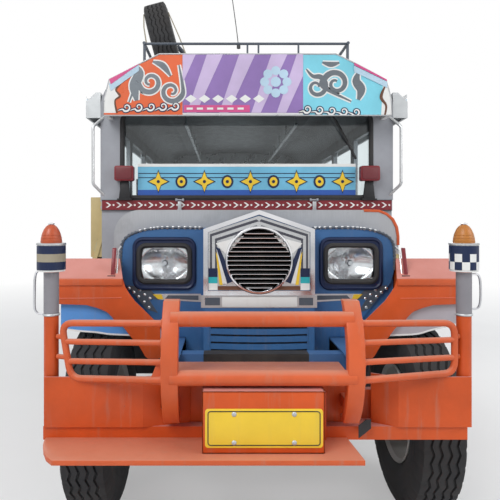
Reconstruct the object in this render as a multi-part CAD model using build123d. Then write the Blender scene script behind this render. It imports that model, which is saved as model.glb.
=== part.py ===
from build123d import *
import math
import os

# Jeepney in millimetres: the front faces -Y, +X is the driver's side, Z is up from the ground.

# Fits
seat_gap = 0.3
bearing_gap = 0.05
panel_gap = 6

# Tyres and wheels
tyre_diameter = 725
tyre_width = 185
tread_width = 150
bead_diameter = 384
rim_width = 122
rim_wall = 8
spindle_diameter = 40
hub_diameter = 124
hand_hole_diameter = 36
hand_hole_circle = 290
hand_holes = 8
axle_z = tyre_diameter / 2

# Axles, springs and steering
front_axle_y = -2355
wheelbase = 3700
rear_axle_y = front_axle_y + wheelbase
front_track = 1300
rear_track = 1312
kingpin_x = 560
kingpin_diameter = 28
axle_height = 66
axle_width = 60
axle_web = 14
yoke_diameter = 62
yoke_ear = 26
yoke_gap = 0.5
arm_length = 130
arm_thickness = 22
tie_eye_diameter = 36
tie_eye_height = 28
tie_pin_diameter = 18
tie_rod_diameter = 24
axle_tube_diameter = 76
differential_diameter = 260
spring_pad = 10
spring_width = 58
leaf_thickness = 9
spring_eye_z = 515
spring_eye_diameter = 44
spring_bolt_diameter = 20
front_spring_half = 408
rear_spring_half = 550
leaf_shares = (1.0, 0.8, 0.6, 0.4)

# Ladder chassis
rail_x = 330
rail_width = 60
rail_height = 120
rail_wall = 6
rail_z = 560
rail_front_y = front_axle_y - 445
member_front_offset = 200
member_end_offset = 60
member_tail_offset = 200
member_tank_offset = 850
member_axle_front = 845
member_axle_rear = 455
cross_member_width = 60
cross_member_height = 70
engine_width = 380
engine_front_y = front_axle_y + 155
engine_length = 550
engine_rear_y = engine_front_y + engine_length
engine_bottom_z = rail_z - 80
engine_top_z = engine_bottom_z + 520
gearbox_width = 220
gearbox_length = 500
gearbox_rear_y = engine_rear_y + gearbox_length
gearbox_top_z = engine_bottom_z + 190
mount_pad = 20
front_mount_inset = 150
rear_mount_inset = 150
shaft_diameter = 70
pipe_diameter = 50
pipe_x = -(rail_x - 95)
pipe_z = rail_z - 40
silencer_diameter = 126
silencer_length = 500
silencer_y = 60
tank_width = 280
tank_front_y = -350
tank_rear_y = 330
tank_bottom_z = rail_z - 90
tank_height = 190

# Body
body_width = 1800
body_front_y = -1240
body_rear_y = 2860
end_wall = 30
screen_wall = 50
side_wall = 30
floor_thickness = 40
floor_z = rail_z + rail_height + floor_thickness
skirt_z = rail_z + 40
knee_z = skirt_z + 300
belt_z = knee_z + 350
flank_flare = 85
wall_top_z = belt_z + 600
eave_z = wall_top_z + 30
shoulder_width = 290
shoulder_height = 205
crown_height = 245
pillar_depth = 50
door_width = 795
door_front_y = body_front_y + pillar_depth
door_rear_y = door_front_y + door_width
door_bottom_z = floor_z - 20
door_top_z = belt_z + 50
door_opening_top_z = wall_top_z - 60
window_bottom_z = belt_z + 80
window_top_z = wall_top_z - 60
window_count = 4
window_pillar = 75
first_pillar = 110
last_pillar = 160
window_pitch = (body_rear_y - last_pillar - door_rear_y - first_pillar + window_pillar) / window_count
window_width = window_pitch - window_pillar
window_first_y = door_rear_y + first_pillar + window_width / 2
window_radius = 50
wheel_arch_radius = 440
hinge_pin_diameter = 10
hinge_radius = 9
hinge_length = 28
hinge_lug = 12
door_hinge_x = body_width / 2 + 13
door_hinge_zs = (door_bottom_z + 70, door_top_z - 28)

# Rear wall, step and benches
doorway_width = 660
doorway_top_z = wall_top_z
rear_window_width = 370
rear_window_x = body_width / 2 - 270
step_width = 900
step_depth = 165
step_gap = 20
step_end_y = body_rear_y + end_wall + step_gap + step_depth
step_z = 400
step_thickness = 30
tow_bore = 32
tow_bar_width = 120
tow_bar_thickness = 16
tow_eye_y = body_rear_y + 105
bench_depth = 382
bench_outer_x = body_width / 2 - side_wall - 8
bench_inner_x = bench_outer_x - bench_depth
bench_front_y = door_rear_y + 195
bench_rear_y = body_rear_y - 60
bench_height = 370
bench_wall = 20
cushion_height = 90
front_seat_depth = 500
front_seat_rear_y = bench_front_y - 60
front_seat_front_y = front_seat_rear_y - front_seat_depth
front_seat_height = 280
seat_side_gap = 30
front_seat_half = body_width / 2 - side_wall - seat_side_gap
front_cushion_height = 110
seat_back_top_z = belt_z + 250
handrail_x = body_width / 4
handrail_z = eave_z + 70
handrail_diameter = 25
handrail_rear_inset = 200
hanger_height = 200
hanger_inset = 100
hanger_diameter = 12
hanger_count = 5

# Windscreen, cowl and visor
cowl_top_z = belt_z + 45
screen_bottom_z = cowl_top_z + 15
screen_top_z = eave_z - 45
screen_half = body_width / 2 - 134
screen_radius = 60
glass_thickness = 6
board_half = screen_half - 94
board_top_z = screen_bottom_z + 208
board_thickness = 12
cowl_half = body_width / 2 - 8
cowl_wall = 40
band_height = 66
band_thickness = 12
visor_depth = 140
visor_front_y = body_front_y - screen_wall - visor_depth
visor_half = body_width / 2 - 50
visor_bottom_z = eave_z - 92
visor_height = 362
visor_wall = 25
wheel_rim_diameter = 410
column_x = 400
column_diameter = 40
column_shaft_diameter = 20

# Front panel, hood and fenders
shell_front_y = front_axle_y - 30
shell_depth = 95
shell_wall = 12
nose_depth = 90
nose_front_y = shell_front_y - nose_depth
nose_half = 222
nose_bottom_z = rail_z + 40
nose_shoulder_z = nose_bottom_z + 533
nose_apex_z = nose_shoulder_z + 76
frame_bottom_z = nose_shoulder_z - 264
frame_width = 18
frame_thickness = 12
medallion_z = frame_bottom_z + 140
medallion_radius = 136
medallion_rim = 12
slat_count = 7
louvre_bottom_z = nose_bottom_z + 12
louvre_top_z = louvre_bottom_z + 130
louvre_count = 5
lamp_x = 388
lamp_z = nose_shoulder_z - 145
recess_width = 236
recess_height = 194
lamp_width = 196
lamp_height = 136
lamp_depth = 60
bezel_depth = 30
hood_front_y = shell_front_y + shell_depth + 5
hood_rear_y = body_front_y - 72
hood_rear_top_z = cowl_top_z - 20
hood_side_height = 253
hood_bottom_z = hood_rear_top_z - hood_side_height
hood_front_half = 618
hood_front_top_z = hood_rear_top_z - 62
hood_rear_half = 655
hood_shoulder = 110
hood_wall = 20
hood_hinge_y = hood_rear_y - 4
hood_hinge_z = hood_rear_top_z + 19
hood_hinge_x = 410
fender_inner_x = 573
fender_width = 222
fender_outer_x = fender_inner_x + fender_width
fender_nose_reach = 170
fender_front_y = front_axle_y - fender_nose_reach
fender_wall = 12
fender_crown_z = rail_z + 450
fender_nose_z = fender_crown_z - 70
fender_crown_y = front_axle_y - 45
fender_shoulder_y = front_axle_y + 265
fender_shoulder_z = fender_crown_z - 25
fender_tail_y = front_axle_y + 795
fender_tail_z = rail_z + 40
fender_edge_z = fender_crown_z - 169
fender_arch_radius = 478
well_rear_y = front_axle_y + 455

# Bumper and bull bar
bumper_x = -30
shelf_depth = 102
beam_back_y = rail_front_y
shelf_front_y = beam_back_y - shelf_depth
beam_wall = 30
beam_top_z = rail_z + 40
beam_bottom_z = beam_top_z - 140
shelf_thickness = 43
shelf_top_z = beam_bottom_z + shelf_thickness
panel_height = 161
panel_top_z = shelf_top_z + panel_height
panel_wall = 8
plate_box_width = 395
plate_box_height = 194
plate_box_bottom_z = beam_bottom_z - 36
plate_box_top_z = plate_box_bottom_z + plate_box_height
plate_box_depth = 23
lip_depth = 115
lip_gap = 58
lip_back_y = shelf_front_y - lip_gap
lip_front_y = lip_back_y - lip_depth
arm_height = 17
lip_thickness = 39
lip_bottom_z = beam_bottom_z - arm_height
lip_top_z = lip_bottom_z + lip_thickness
lip_arm_width = 50
lip_taper = 16
bull_half = 287
upright_width = 52
upright_wall = 12
horn_bottom_z = beam_top_z - 40
upright_height = 389
upright_bottom_z = shelf_top_z + 22
upright_top_z = upright_bottom_z + upright_height
upright_bow = 80
upright_end_y = shelf_front_y - 8
upright_bow_y = upright_end_y - upright_bow
bull_upper_z = upright_top_z - 55
bull_upper_diameter = 48
bull_lower_z = panel_top_z + 29
bull_lower_diameter = 79
side_bar_pitch = 52
side_bar_count = 4
side_bar_z = panel_top_z + 13
side_bar_zs = [side_bar_z + side_bar_pitch * row for row in range(side_bar_count)]
side_bar_diameter = 20
post_spread = 675
post_y = shelf_front_y + 27
post_diameter = 47
post_height = 498
post_top_z = shelf_top_z + post_height
post_lamp_diameter = 88
post_lamp_height = 90
post_dome_diameter = 70
post_dome_height = 65

# Roof rack and spare wheel
rack_half = 645
rack_front_y = body_front_y + 60
rack_rear_inset = 460
rack_rear_y = body_rear_y - rack_rear_inset
rack_tray_z = eave_z + crown_height + 20
rack_top_z = rack_tray_z + 146
rack_tube_diameter = 20
rack_post_diameter = 18
rack_bar_diameter = 16
rack_stay_diameter = 12
rack_posts = 7
rack_front_post_xs = (9, 79, 333)
rack_foot_z = eave_z + 150
spare_x = 47 - rack_half
spare_from_front = 905
spare_y = rack_front_y + spare_from_front
spare_z = rack_tray_z + 380
spare_lean = 15
eave_board_width = 90
eave_board_bottom_z = eave_z - 80
eave_board_top_z = eave_z + 76
eave_board_wall = 12
grab_diameter = 18

far = 5000

# Places that follow several of the sizes above
mount_ys = (engine_front_y + front_mount_inset, gearbox_rear_y - rear_mount_inset)
cross_member_ys = (rail_front_y + member_front_offset, gearbox_rear_y + member_tail_offset,
                   gearbox_rear_y + member_tank_offset, rear_axle_y - member_axle_front,
                   rear_axle_y + member_axle_rear, body_rear_y - member_end_offset)


def box(x0, x1, y0, y1, z0, z1):
    """A box between two corners."""
    return Pos((x0 + x1) / 2, (y0 + y1) / 2, (z0 + z1) / 2) * Box(x1 - x0, y1 - y0, z1 - z0)


def rod(start, end, diameter):
    """A round bar from one point to another."""
    start, end = Vector(*start), Vector(*end)
    axis = end - start
    low = (Align.CENTER, Align.CENTER, Align.MIN)
    return Plane(origin=start, z_dir=axis) * Cylinder(diameter / 2, axis.length, align=low)


def across(sketch, front_y, back_y):
    """An XZ outline carried from front_y back to back_y."""
    plane = Plane(origin=(0, back_y, 0), x_dir=(1, 0, 0), z_dir=(0, -1, 0))
    return extrude(plane * sketch, back_y - front_y)


def sideways(sketch, x0, x1):
    """A YZ outline carried from x0 to x1."""
    plane = Plane(origin=(x0, 0, 0), x_dir=(0, 1, 0), z_dir=(1, 0, 0))
    return extrude(plane * sketch, x1 - x0)


def upward(sketch, z0, z1):
    """An XY outline carried from z0 to z1."""
    return extrude(Pos(0, 0, z0) * sketch, z1 - z0)


def polygon(points, radius=0):
    """A closed outline through points, with its corners rounded if radius is given."""
    if radius:
        return make_face(FilletPolyline(*points, radius=radius, close=True))
    return make_face(Polyline(*points, close=True))


def mirrored(points):
    """Half an outline, from bottom to top at +X, closed by its mirror image."""
    return list(points) + [(-x, z) for x, z in reversed(points) if x > 0]


def rounded(u0, u1, v0, v1, radius):
    """A rectangle between two corners, with rounded corners."""
    return Pos((u0 + u1) / 2, (v0 + v1) / 2) * RectangleRounded(u1 - u0, v1 - v0, radius)


def both_sides(shape):
    """A shape and its mirror image across the middle plane."""
    return shape + mirror(shape, Plane.YZ)


def other_side(shape):
    """The mirror image of a shape across the middle plane."""
    return mirror(shape, Plane.YZ)


# Tyres and wheels, made at the origin with the outboard side towards +X
def tyre():
    """A closed tyre: flat tread, rounded walls and beads on the rim's seat."""
    tread, wall = tread_width / 2, tyre_width / 2
    top, bead = tyre_diameter / 2, bead_diameter / 2 + seat_gap
    shoulder = (tread + 7, top - 10)
    heel = (rim_width / 2 + 16, bead + 13)
    middle = (wall, (shoulder[1] + heel[1]) / 2)
    toe = (rim_width / 2, bead)

    def flip(point):
        return (-point[0], point[1])

    edge = Line(flip((tread, top)), (tread, top)) + Line((tread, top), shoulder)
    edge += ThreePointArc(shoulder, middle, heel) + Line(heel, toe) + Line(toe, flip(toe))
    edge += Line(flip(toe), flip(heel)) + ThreePointArc(flip(heel), flip(middle), flip(shoulder))
    edge += Line(flip(shoulder), flip((tread, top)))
    return revolve(Plane.XZ * make_face(edge), Axis.X)


def wheel():
    """A steel disc wheel: rim, dished disc with hand holes and a hub with a blind bore."""
    seat = bead_diameter / 2 - seat_gap
    half = rim_width / 2
    hub, bore = hub_diameter / 2, spindle_diameter / 2 + bearing_gap
    section = [
        (-half - 13, seat + 8.8), (-half, seat), (half, seat), (half + 13, seat + 8.8),
        (half + 18, seat + 6), (half + 4, seat - rim_wall), (half - 16, seat - rim_wall),
        (half - 3, hub + 42), (half - 3, hub), (half + 12, hub - 8), (half + 16, 0),
        (half - 4, 0), (half - 4, bore), (-38, bore), (-38, hub - 18),
        (half - 30, hub - 18), (half - 14, hub + 42), (half - 26, seat - rim_wall),
        (-half - 4, seat - rim_wall), (-half - 18, seat + 6),
    ]
    body = revolve(Plane.XZ * polygon(section), Axis.X)
    for turn in range(hand_holes):
        angle = math.radians(360 / hand_holes * turn)
        y = hand_hole_circle / 2 * math.cos(angle)
        z = hand_hole_circle / 2 * math.sin(angle)
        body -= rod((0, y, z), (half + 20, y, z), hand_hole_diameter)
    return body


def placed(piece, x, y):
    """A tyre or wheel set on the ground at x, y, its outboard side away from the middle."""
    turned = piece if x > 0 else other_side(piece)
    return Pos(x, y, axle_z) * turned


# Front axle and steering
def front_axle():
    """An I-beam with a boss for each kingpin and a pad under each spring."""
    half, web = axle_height / 2, axle_web / 2
    flange, edge = axle_width / 2, 12
    section = polygon([
        (-flange, -half), (flange, -half), (flange, edge - half), (web, edge - half),
        (web, half - edge), (flange, half - edge), (flange, half), (-flange, half),
        (-flange, half - edge), (-web, half - edge), (-web, edge - half), (-flange, edge - half),
    ])
    beam = sideways(Pos(front_axle_y, axle_z) * section, -kingpin_x + 50, kingpin_x - 50)
    y = front_axle_y
    end = box(kingpin_x - 60, kingpin_x, y - 24, y + 24, axle_z - half, axle_z + half)
    end += rod((kingpin_x, y, axle_z - half), (kingpin_x, y, axle_z + half), axle_width)
    bore = kingpin_diameter + 2 * bearing_gap
    end -= rod((kingpin_x, y, axle_z - far), (kingpin_x, y, axle_z + far), bore)
    pad = spring_width / 2
    end += box(rail_x - pad, rail_x + pad, y - 60, y + 60, axle_z + half - 1, axle_z + half + spring_pad)
    return beam + both_sides(end)


def knuckle():
    """The left knuckle: forked ears, kingpin, wheel spindle and steering arm with its pin."""
    x, y, half = kingpin_x, front_axle_y, axle_height / 2
    inner, outer = half + yoke_gap, half + yoke_gap + yoke_ear
    web_x = x + axle_width / 2 + 4
    spindle_x = front_track / 2
    piece = box(web_x, web_x + 14, y - 28, y + 28, axle_z - outer, axle_z + outer)
    for side in (1, -1):
        low, high = sorted((axle_z + side * inner, axle_z + side * outer))
        piece += rod((x, y, low), (x, y, high), yoke_diameter)
        piece += box(x, web_x + 1, y - 28, y + 28, low, high)
    piece += rod((x, y, axle_z - outer), (x, y, axle_z + outer), kingpin_diameter)
    piece += rod((web_x + 13, y, axle_z), (web_x + 16, y, axle_z), 84)
    piece += rod((web_x + 12, y, axle_z), (spindle_x + 50, y, axle_z), spindle_diameter)
    arm_low, arm_high = axle_z - inner - arm_thickness, axle_z - inner
    arm_y = y + arm_length
    piece += box(x - 15, x + 15, y, arm_y, arm_low, arm_high)
    piece += rod((x, arm_y, arm_low), (x, arm_y, arm_high), tie_eye_diameter)
    pin_low = arm_low - 2 - tie_eye_height - 4
    piece += rod((x, arm_y, pin_low), (x, arm_y, arm_high), tie_pin_diameter)
    return piece


def tie_rod():
    """The bar between the steering arms, with a bored eye on each pin."""
    high = axle_z - axle_height / 2 - yoke_gap - arm_thickness - 2
    low = high - tie_eye_height
    y, middle = front_axle_y + arm_length, (low + high) / 2
    piece = rod((-kingpin_x, y, middle), (kingpin_x, y, middle), tie_rod_diameter)
    for x in (-kingpin_x, kingpin_x):
        piece += rod((x, y, low), (x, y, high), tie_eye_diameter)
        piece -= rod((x, y, low - 1), (x, y, high + 1), tie_pin_diameter + 2 * bearing_gap)
    return piece


def rear_axle():
    """A tubular axle with a round differential housing, its nose and two spindles."""
    y, half = rear_axle_y, rear_track / 2
    piece = rod((-half + 56, y, axle_z), (half - 56, y, axle_z), axle_tube_diameter)
    piece += rod((-half - 50, y, axle_z), (half + 50, y, axle_z), spindle_diameter)
    piece += Pos(0, y, axle_z) * Sphere(differential_diameter / 2)
    piece += rod((0, y - 190, axle_z), (0, y, axle_z), 96)
    pad, top = spring_width / 2, axle_z + axle_height / 2 + spring_pad
    for x in (-rail_x, rail_x):
        piece += box(x - pad, x + pad, y - 60, y + 60, axle_z + 20, top)
    return piece


def leaf_pack(y, half):
    """One pack of curved leaves, the longest on top with a bored eye at each end."""
    bottom = axle_z + axle_height / 2 + spring_pad
    rise = spring_eye_z - bottom - leaf_thickness * (len(leaf_shares) - 0.5)
    radius = (half ** 2 + rise ** 2) / (2 * rise)
    pack = None
    for row, share in enumerate(leaf_shares):
        inner = radius + leaf_thickness * (row - 0.5)
        outer = inner + leaf_thickness
        centre_z = bottom + radius + leaf_thickness * (len(leaf_shares) - 0.5)
        spread = math.asin(half * share / radius)

        def on(r, angle):
            return (y + r * math.sin(angle), centre_z - r * math.cos(angle))

        edge = ThreePointArc(on(inner, -spread), on(inner, 0), on(inner, spread))
        edge += Line(on(inner, spread), on(outer, spread))
        edge += ThreePointArc(on(outer, spread), on(outer, 0), on(outer, -spread))
        edge += Line(on(outer, -spread), on(inner, -spread))
        leaf = sideways(make_face(edge), rail_x - spring_width / 2, rail_x + spring_width / 2)
        pack = leaf if pack is None else pack + leaf
    x0, x1 = rail_x - spring_width / 2, rail_x + spring_width / 2
    for end in (y - half, y + half):
        pack += rod((x0, end, spring_eye_z), (x1, end, spring_eye_z), spring_eye_diameter)
        bore = spring_bolt_diameter + 2 * seat_gap
        pack -= rod((x0 - 1, end, spring_eye_z), (x1 + 1, end, spring_eye_z), bore)
    return pack


spring_rows = ((front_axle_y, front_spring_half), (rear_axle_y, rear_spring_half))


def leaf_springs():
    """Four leaf packs, under the rails at both axles."""
    packs = [both_sides(leaf_pack(y, half)) for y, half in spring_rows]
    return packs[0] + packs[1]


# Ladder chassis and what hangs from it
def chassis_frame():
    """Two channel rails with spring hangers and engine pads."""
    outer, inner = rail_x + rail_width / 2, rail_x - rail_width / 2
    top = rail_z + rail_height
    rear_y = body_rear_y + end_wall
    rail = box(inner, outer, rail_front_y, rear_y, rail_z, top)
    rail -= box(inner - 1, outer - rail_wall, rail_front_y - 1, rear_y + 1,
                rail_z + rail_wall, top - rail_wall)
    cheek_x = spring_width / 2 + seat_gap
    for y, half in spring_rows:
        for end in (y - half, y + half):
            for side in (-1, 1):
                near, away = rail_x + side * cheek_x, rail_x + side * (cheek_x + 8)
                x0, x1 = min(near, away), max(near, away)
                rail += box(x0, x1, end - 26, end + 26, spring_eye_z - 26, rail_z + rail_wall)
            start, stop = rail_x - cheek_x - 8, rail_x + cheek_x + 8
            rail += rod((start, end, spring_eye_z), (stop, end, spring_eye_z), spring_bolt_diameter)
    for y in mount_ys:
        rail += box(engine_width / 2 + 10, outer - 1, y - 40, y + 40, rail_z + 20, rail_z + 40)
    return both_sides(rail)


def cross_members():
    """Channels between the rails' webs, with the exhaust's hangers and the tow bar at the rear."""
    reach = rail_x + rail_width / 2 - rail_wall - seat_gap
    member_z, half = rail_z + 40, cross_member_width / 2
    top = member_z + cross_member_height
    members = None
    for y in cross_member_ys:
        member = box(-reach, reach, y - half, y + half, member_z, top)
        member -= box(-reach + rail_width, reach - rail_width, y - half + rail_wall, y + half - rail_wall,
                      member_z - 1, top - rail_wall)
        members = member if members is None else members + member
    pipe_top = pipe_z + pipe_diameter / 2 + seat_gap
    for y in cross_member_ys[3:]:
        members += box(pipe_x - 12, pipe_x + 12, y + half - rail_wall, y + half, pipe_top, member_z + 10)
    low, high = member_z + 10, member_z + 10 + tow_bar_thickness
    members += box(-tow_bar_width / 2, tow_bar_width / 2, cross_member_ys[-1], tow_eye_y, low, high)
    members += rod((0, tow_eye_y, low), (0, tow_eye_y, high), tow_bar_width)
    return members - rod((0, tow_eye_y, low - 1), (0, tow_eye_y, high + 1), tow_bore)


def engine():
    """The engine and gearbox as one plain block with four feet on the chassis pads."""
    half, slim = engine_width / 2, gearbox_width / 2
    block = box(-half, half, engine_front_y, engine_rear_y, engine_bottom_z, engine_top_z)
    block += box(-slim, slim, engine_rear_y - 1, gearbox_rear_y, engine_bottom_z, gearbox_top_z)
    foot_z = rail_z + 40 + seat_gap
    for y, inner in zip(mount_ys, (half - 1, slim - 1)):
        block += both_sides(box(inner, half + 70, y - 30, y + 30, foot_z, foot_z + mount_pad))
    return block


def drive_shaft():
    """The propeller shaft from the gearbox to the differential's nose."""
    start = (0, gearbox_rear_y + seat_gap, rail_z + 20)
    stop = (0, rear_axle_y - 190 - 6, axle_z)
    tube = rod(start, stop, shaft_diameter)
    tube += rod(start, (0, start[1] + 40, start[2]), 90)
    tube += rod((0, stop[1] - 40, axle_z), (0, rear_axle_y - 190 - seat_gap, axle_z), 90)
    trim = box(-100, 100, gearbox_rear_y - 200, gearbox_rear_y + seat_gap, 0, far)
    trim += box(-100, 100, rear_axle_y - 190 - seat_gap, rear_axle_y, 0, far)
    return tube - trim


def exhaust():
    """The exhaust pipe from the engine's side to the rear, with its silencer."""
    start_x = -engine_width / 2 - seat_gap
    port_y = engine_rear_y - 200
    route = FilletPolyline(
        (start_x, port_y, pipe_z), (pipe_x, port_y, pipe_z), (pipe_x, body_rear_y - 20, pipe_z), radius=40
    )
    pipe = sweep(Plane(origin=route @ 0, z_dir=route % 0) * Circle(pipe_diameter / 2), path=route)
    half = silencer_length / 2
    low, high = silencer_y - half, silencer_y + half
    return pipe + rod((pipe_x, low, pipe_z), (pipe_x, high, pipe_z), silencer_diameter)


def fuel_tank():
    """A tank with rounded edges against the outer face of the driver's side rail."""
    x0 = rail_x + rail_width / 2 + seat_gap
    outline = rounded(x0, x0 + tank_width, tank_bottom_z, tank_bottom_z + tank_height, 30)
    return across(outline, tank_front_y, tank_rear_y)


# Cabin shell: one section carried along, split into roof and side walls
def section(inset, base_z):
    """The cabin's outline in XZ, drawn inwards by inset, from base_z up to the crown."""
    half = body_width / 2 - inset
    low = half + flank_flare
    bulge = (half + 0.3 * flank_flare, (belt_z + knee_z) / 2 + 40)
    rise = shoulder_height - inset
    shoulder = (half - shoulder_width + inset / 2, eave_z + rise)
    bend = (half - 62, eave_z + 0.66 * rise)
    crown = (0, eave_z + crown_height - inset)

    def flip(point):
        return (-point[0], point[1])

    edge = Line((-low, base_z), (low, base_z)) + Line((low, base_z), (low, knee_z))
    edge += ThreePointArc((low, knee_z), bulge, (half, belt_z))
    edge += Line((half, belt_z), (half, eave_z)) + ThreePointArc((half, eave_z), bend, shoulder)
    edge += ThreePointArc(shoulder, crown, flip(shoulder))
    edge += ThreePointArc(flip(shoulder), flip(bend), (-half, eave_z))
    edge += Line((-half, eave_z), (-half, belt_z))
    edge += ThreePointArc((-half, belt_z), flip(bulge), (-low, knee_z))
    edge += Line((-low, knee_z), (-low, base_z))
    return make_face(edge)


def cabin_shell(front_y, rear_y):
    """The walls and roof in one piece, open below and at both ends."""
    outer = across(section(0, skirt_z), front_y, rear_y)
    return outer - across(section(side_wall, skirt_z - 1), front_y - 1, rear_y + 1)


def roof():
    """The crowned roof above the side walls."""
    return cabin_shell(body_front_y, body_rear_y) & box(-far, far, -far, far, wall_top_z, far)


def door_hinge(z, fixed):
    """One hinge at the driver's door: lugs and pin on the pillar, or the door's barrel."""
    half, x = hinge_length / 2, door_hinge_x
    y = door_front_y - 6
    pillar = body_width / 2
    if not fixed:
        barrel = rod((x, y, z - half), (x, y, z + half), 2 * hinge_radius)
        if z > belt_z:
            barrel += box(pillar + 3, x, y + 2, y + 24, z - half, z + half)
            barrel += box(pillar - 2, pillar + 4, door_front_y + panel_gap, y + 24, z - half, z + half)
        else:
            inner = pillar - side_wall + flank_flare
            barrel += box(x, inner + 2, y + 2, y + 24, z - half, z + half)
        return barrel - rod((x, y, z - far), (x, y, z + far), hinge_pin_diameter + 4 * bearing_gap)
    lugs = rod((x, y, z - half - 12), (x, y, z + half + 12), hinge_pin_diameter)
    for low, high in ((z + half + 1, z + half + 12), (z - half - 12, z - half - 1)):
        lugs += rod((x, y, low), (x, y, high), 2 * hinge_radius)
        lugs += box(pillar - 2, x, y - hinge_radius, y + hinge_radius - 6, low, high)
    return lugs


def body_side():
    """The driver's side wall: pillar, doorway, passenger windows, wheel arch and flared flank."""
    wall = cabin_shell(body_front_y, body_rear_y) & box(0, far, -far, far, skirt_z, wall_top_z)
    wall -= box(0, far, -far, door_front_y, skirt_z - 1, belt_z + 1)
    half = body_width / 2
    wall += box(half - side_wall, half, body_front_y, door_front_y, skirt_z, belt_z + 2)
    sill = half + flank_flare - 5
    wall += box(half - side_wall, sill, door_front_y - 2, door_front_y, skirt_z, door_bottom_z)
    wall -= box(0, far, door_front_y, door_rear_y, door_bottom_z, door_opening_top_z)
    for row in range(window_count):
        y = window_first_y + row * window_pitch
        half_window = window_width / 2
        opening = rounded(y - half_window, y + half_window, window_bottom_z, window_top_z, window_radius)
        wall -= sideways(opening, half - 2 * side_wall, half + side_wall)
    wall -= rod((half - 100, rear_axle_y, axle_z), (far, rear_axle_y, axle_z), 2 * wheel_arch_radius)
    for z in door_hinge_zs:
        wall += door_hinge(z, True)
    return wall


def half_door():
    """The driver's half door, cut from the flank with a gap all round, and its hinge barrels."""
    front, rear = door_front_y + panel_gap, door_rear_y - panel_gap
    low = door_bottom_z + panel_gap
    door = cabin_shell(body_front_y, body_rear_y) & box(0, far, front, rear, low, door_top_z)
    for z in door_hinge_zs:
        door += door_hinge(z, False)
    return door


def rear_frame():
    """The rear wall with the passengers' doorway and a window on each side."""
    wall = across(section(0, skirt_z), body_rear_y, body_rear_y + end_wall)
    door = doorway_width / 2
    wall -= box(-door, door, 0, far, floor_z, doorway_top_z)
    half = rear_window_width / 2
    opening = rounded(rear_window_x - half, rear_window_x + half, window_bottom_z, window_top_z,
                      window_radius)
    wall -= both_sides(across(opening, body_rear_y - 1, body_rear_y + end_wall + 1))
    keep = rail_x + rail_width / 2 + seat_gap
    return wall - box(-keep, keep, 0, far, 0, rail_z + rail_height + seat_gap)


def floor():
    """The floor on the chassis rails, cut out over the rear wheels."""
    flank = body_width / 2 - side_wall + flank_flare - seat_gap
    low = floor_z - floor_thickness
    plate = box(-flank, flank, door_front_y, body_rear_y, low, floor_z)
    inside = body_width / 2 - side_wall
    plate += box(-inside, inside, body_front_y, door_front_y, low, floor_z)
    cut = tyre_diameter / 2 - 120
    inner, outer = rear_track / 2 - tyre_width / 2 - 25, rear_track / 2 + tyre_width / 2 + 50
    return plate - both_sides(box(inner, outer, rear_axle_y - cut, rear_axle_y + cut, 0, far))


# Seats
def bench_base():
    """A hollow bench box along the driver's side wall, open below over the wheel."""
    top = floor_z + bench_height
    base = box(bench_inner_x, bench_outer_x, bench_front_y, bench_rear_y, floor_z, top)
    base -= box(bench_inner_x + bench_wall, bench_outer_x + 1, bench_front_y + bench_wall,
                bench_rear_y - bench_wall, floor_z - 1, top - bench_wall)
    return base


def bench_cushion():
    """The long cushion on the driver's side bench."""
    low = floor_z + bench_height + seat_gap
    outline = rounded(bench_inner_x, bench_outer_x - 4, low, low + cushion_height, 30)
    return across(outline, bench_front_y + 10, bench_rear_y - 10)


def front_seat_base():
    """The front seat's box, open below, with its backboard."""
    half, low, top = front_seat_half, floor_z, floor_z + front_seat_height
    front, rear = front_seat_front_y, front_seat_rear_y
    base = box(-half, half, front, rear, low, top)
    base -= box(-half + 20, half - 20, front + 20, rear - 20, low - 1, top - 20)
    return base + box(-half, half, rear - 25, rear, top - 1, seat_back_top_z)


def front_seat_cushion():
    """The cushion across the front seat."""
    low = floor_z + front_seat_height + seat_gap
    outline = rounded(front_seat_front_y - 15, front_seat_rear_y - 30, low, low + front_cushion_height, 35)
    return sideways(outline, -front_seat_half + 10, front_seat_half - 10)


def front_seat_back():
    """The upright cushion on the front seat's backboard."""
    low = floor_z + front_seat_height + front_cushion_height + 2 * seat_gap
    rear = front_seat_rear_y - 25 - seat_gap
    outline = rounded(rear - 70, rear, low, seat_back_top_z - 10, 30)
    return sideways(outline, -front_seat_half + 10, front_seat_half - 10)


def ceiling_rails():
    """Two handrails under the roof on short hangers."""
    rear = bench_rear_y - handrail_rear_inset
    rail = rod((handrail_x, bench_front_y, handrail_z), (handrail_x, rear, handrail_z), handrail_diameter)
    first = bench_front_y + hanger_inset
    pitch = (rear - handrail_rear_inset - bench_front_y) / (hanger_count - 1)
    for row in range(hanger_count):
        y = first + pitch * row
        rail += rod((handrail_x, y, handrail_z), (handrail_x, y, handrail_z + hanger_height), hanger_diameter)
    inside = across(section(side_wall + seat_gap, skirt_z), body_front_y, body_rear_y)
    return both_sides(rail & inside)


# Windscreen, cowl and visor
def screen_frame():
    """The front wall above the cowl, with the windscreen's rounded opening."""
    front = body_front_y - screen_wall
    wall = across(section(0, skirt_z), front, body_front_y) & box(-far, far, -far, far, cowl_top_z, far)
    opening = rounded(-screen_half, screen_half, screen_bottom_z, screen_top_z, screen_radius)
    return wall - across(opening, front - 1, body_front_y + 1)


def screen_glass():
    """The flat pane in the windscreen's opening."""
    gap = seat_gap
    pane = rounded(-screen_half + gap, screen_half - gap, screen_bottom_z + gap, screen_top_z - gap,
                   screen_radius - gap)
    middle = body_front_y - screen_wall / 2
    return across(pane, middle - glass_thickness / 2, middle + glass_thickness / 2)


def screen_board():
    """The low board across the foot of the windscreen, ahead of the glass."""
    rear = body_front_y - screen_wall / 2 - glass_thickness / 2 - seat_gap
    board = rounded(-board_half, board_half, screen_bottom_z + seat_gap, board_top_z, 12)
    return across(board, rear - board_thickness, rear)


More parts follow.
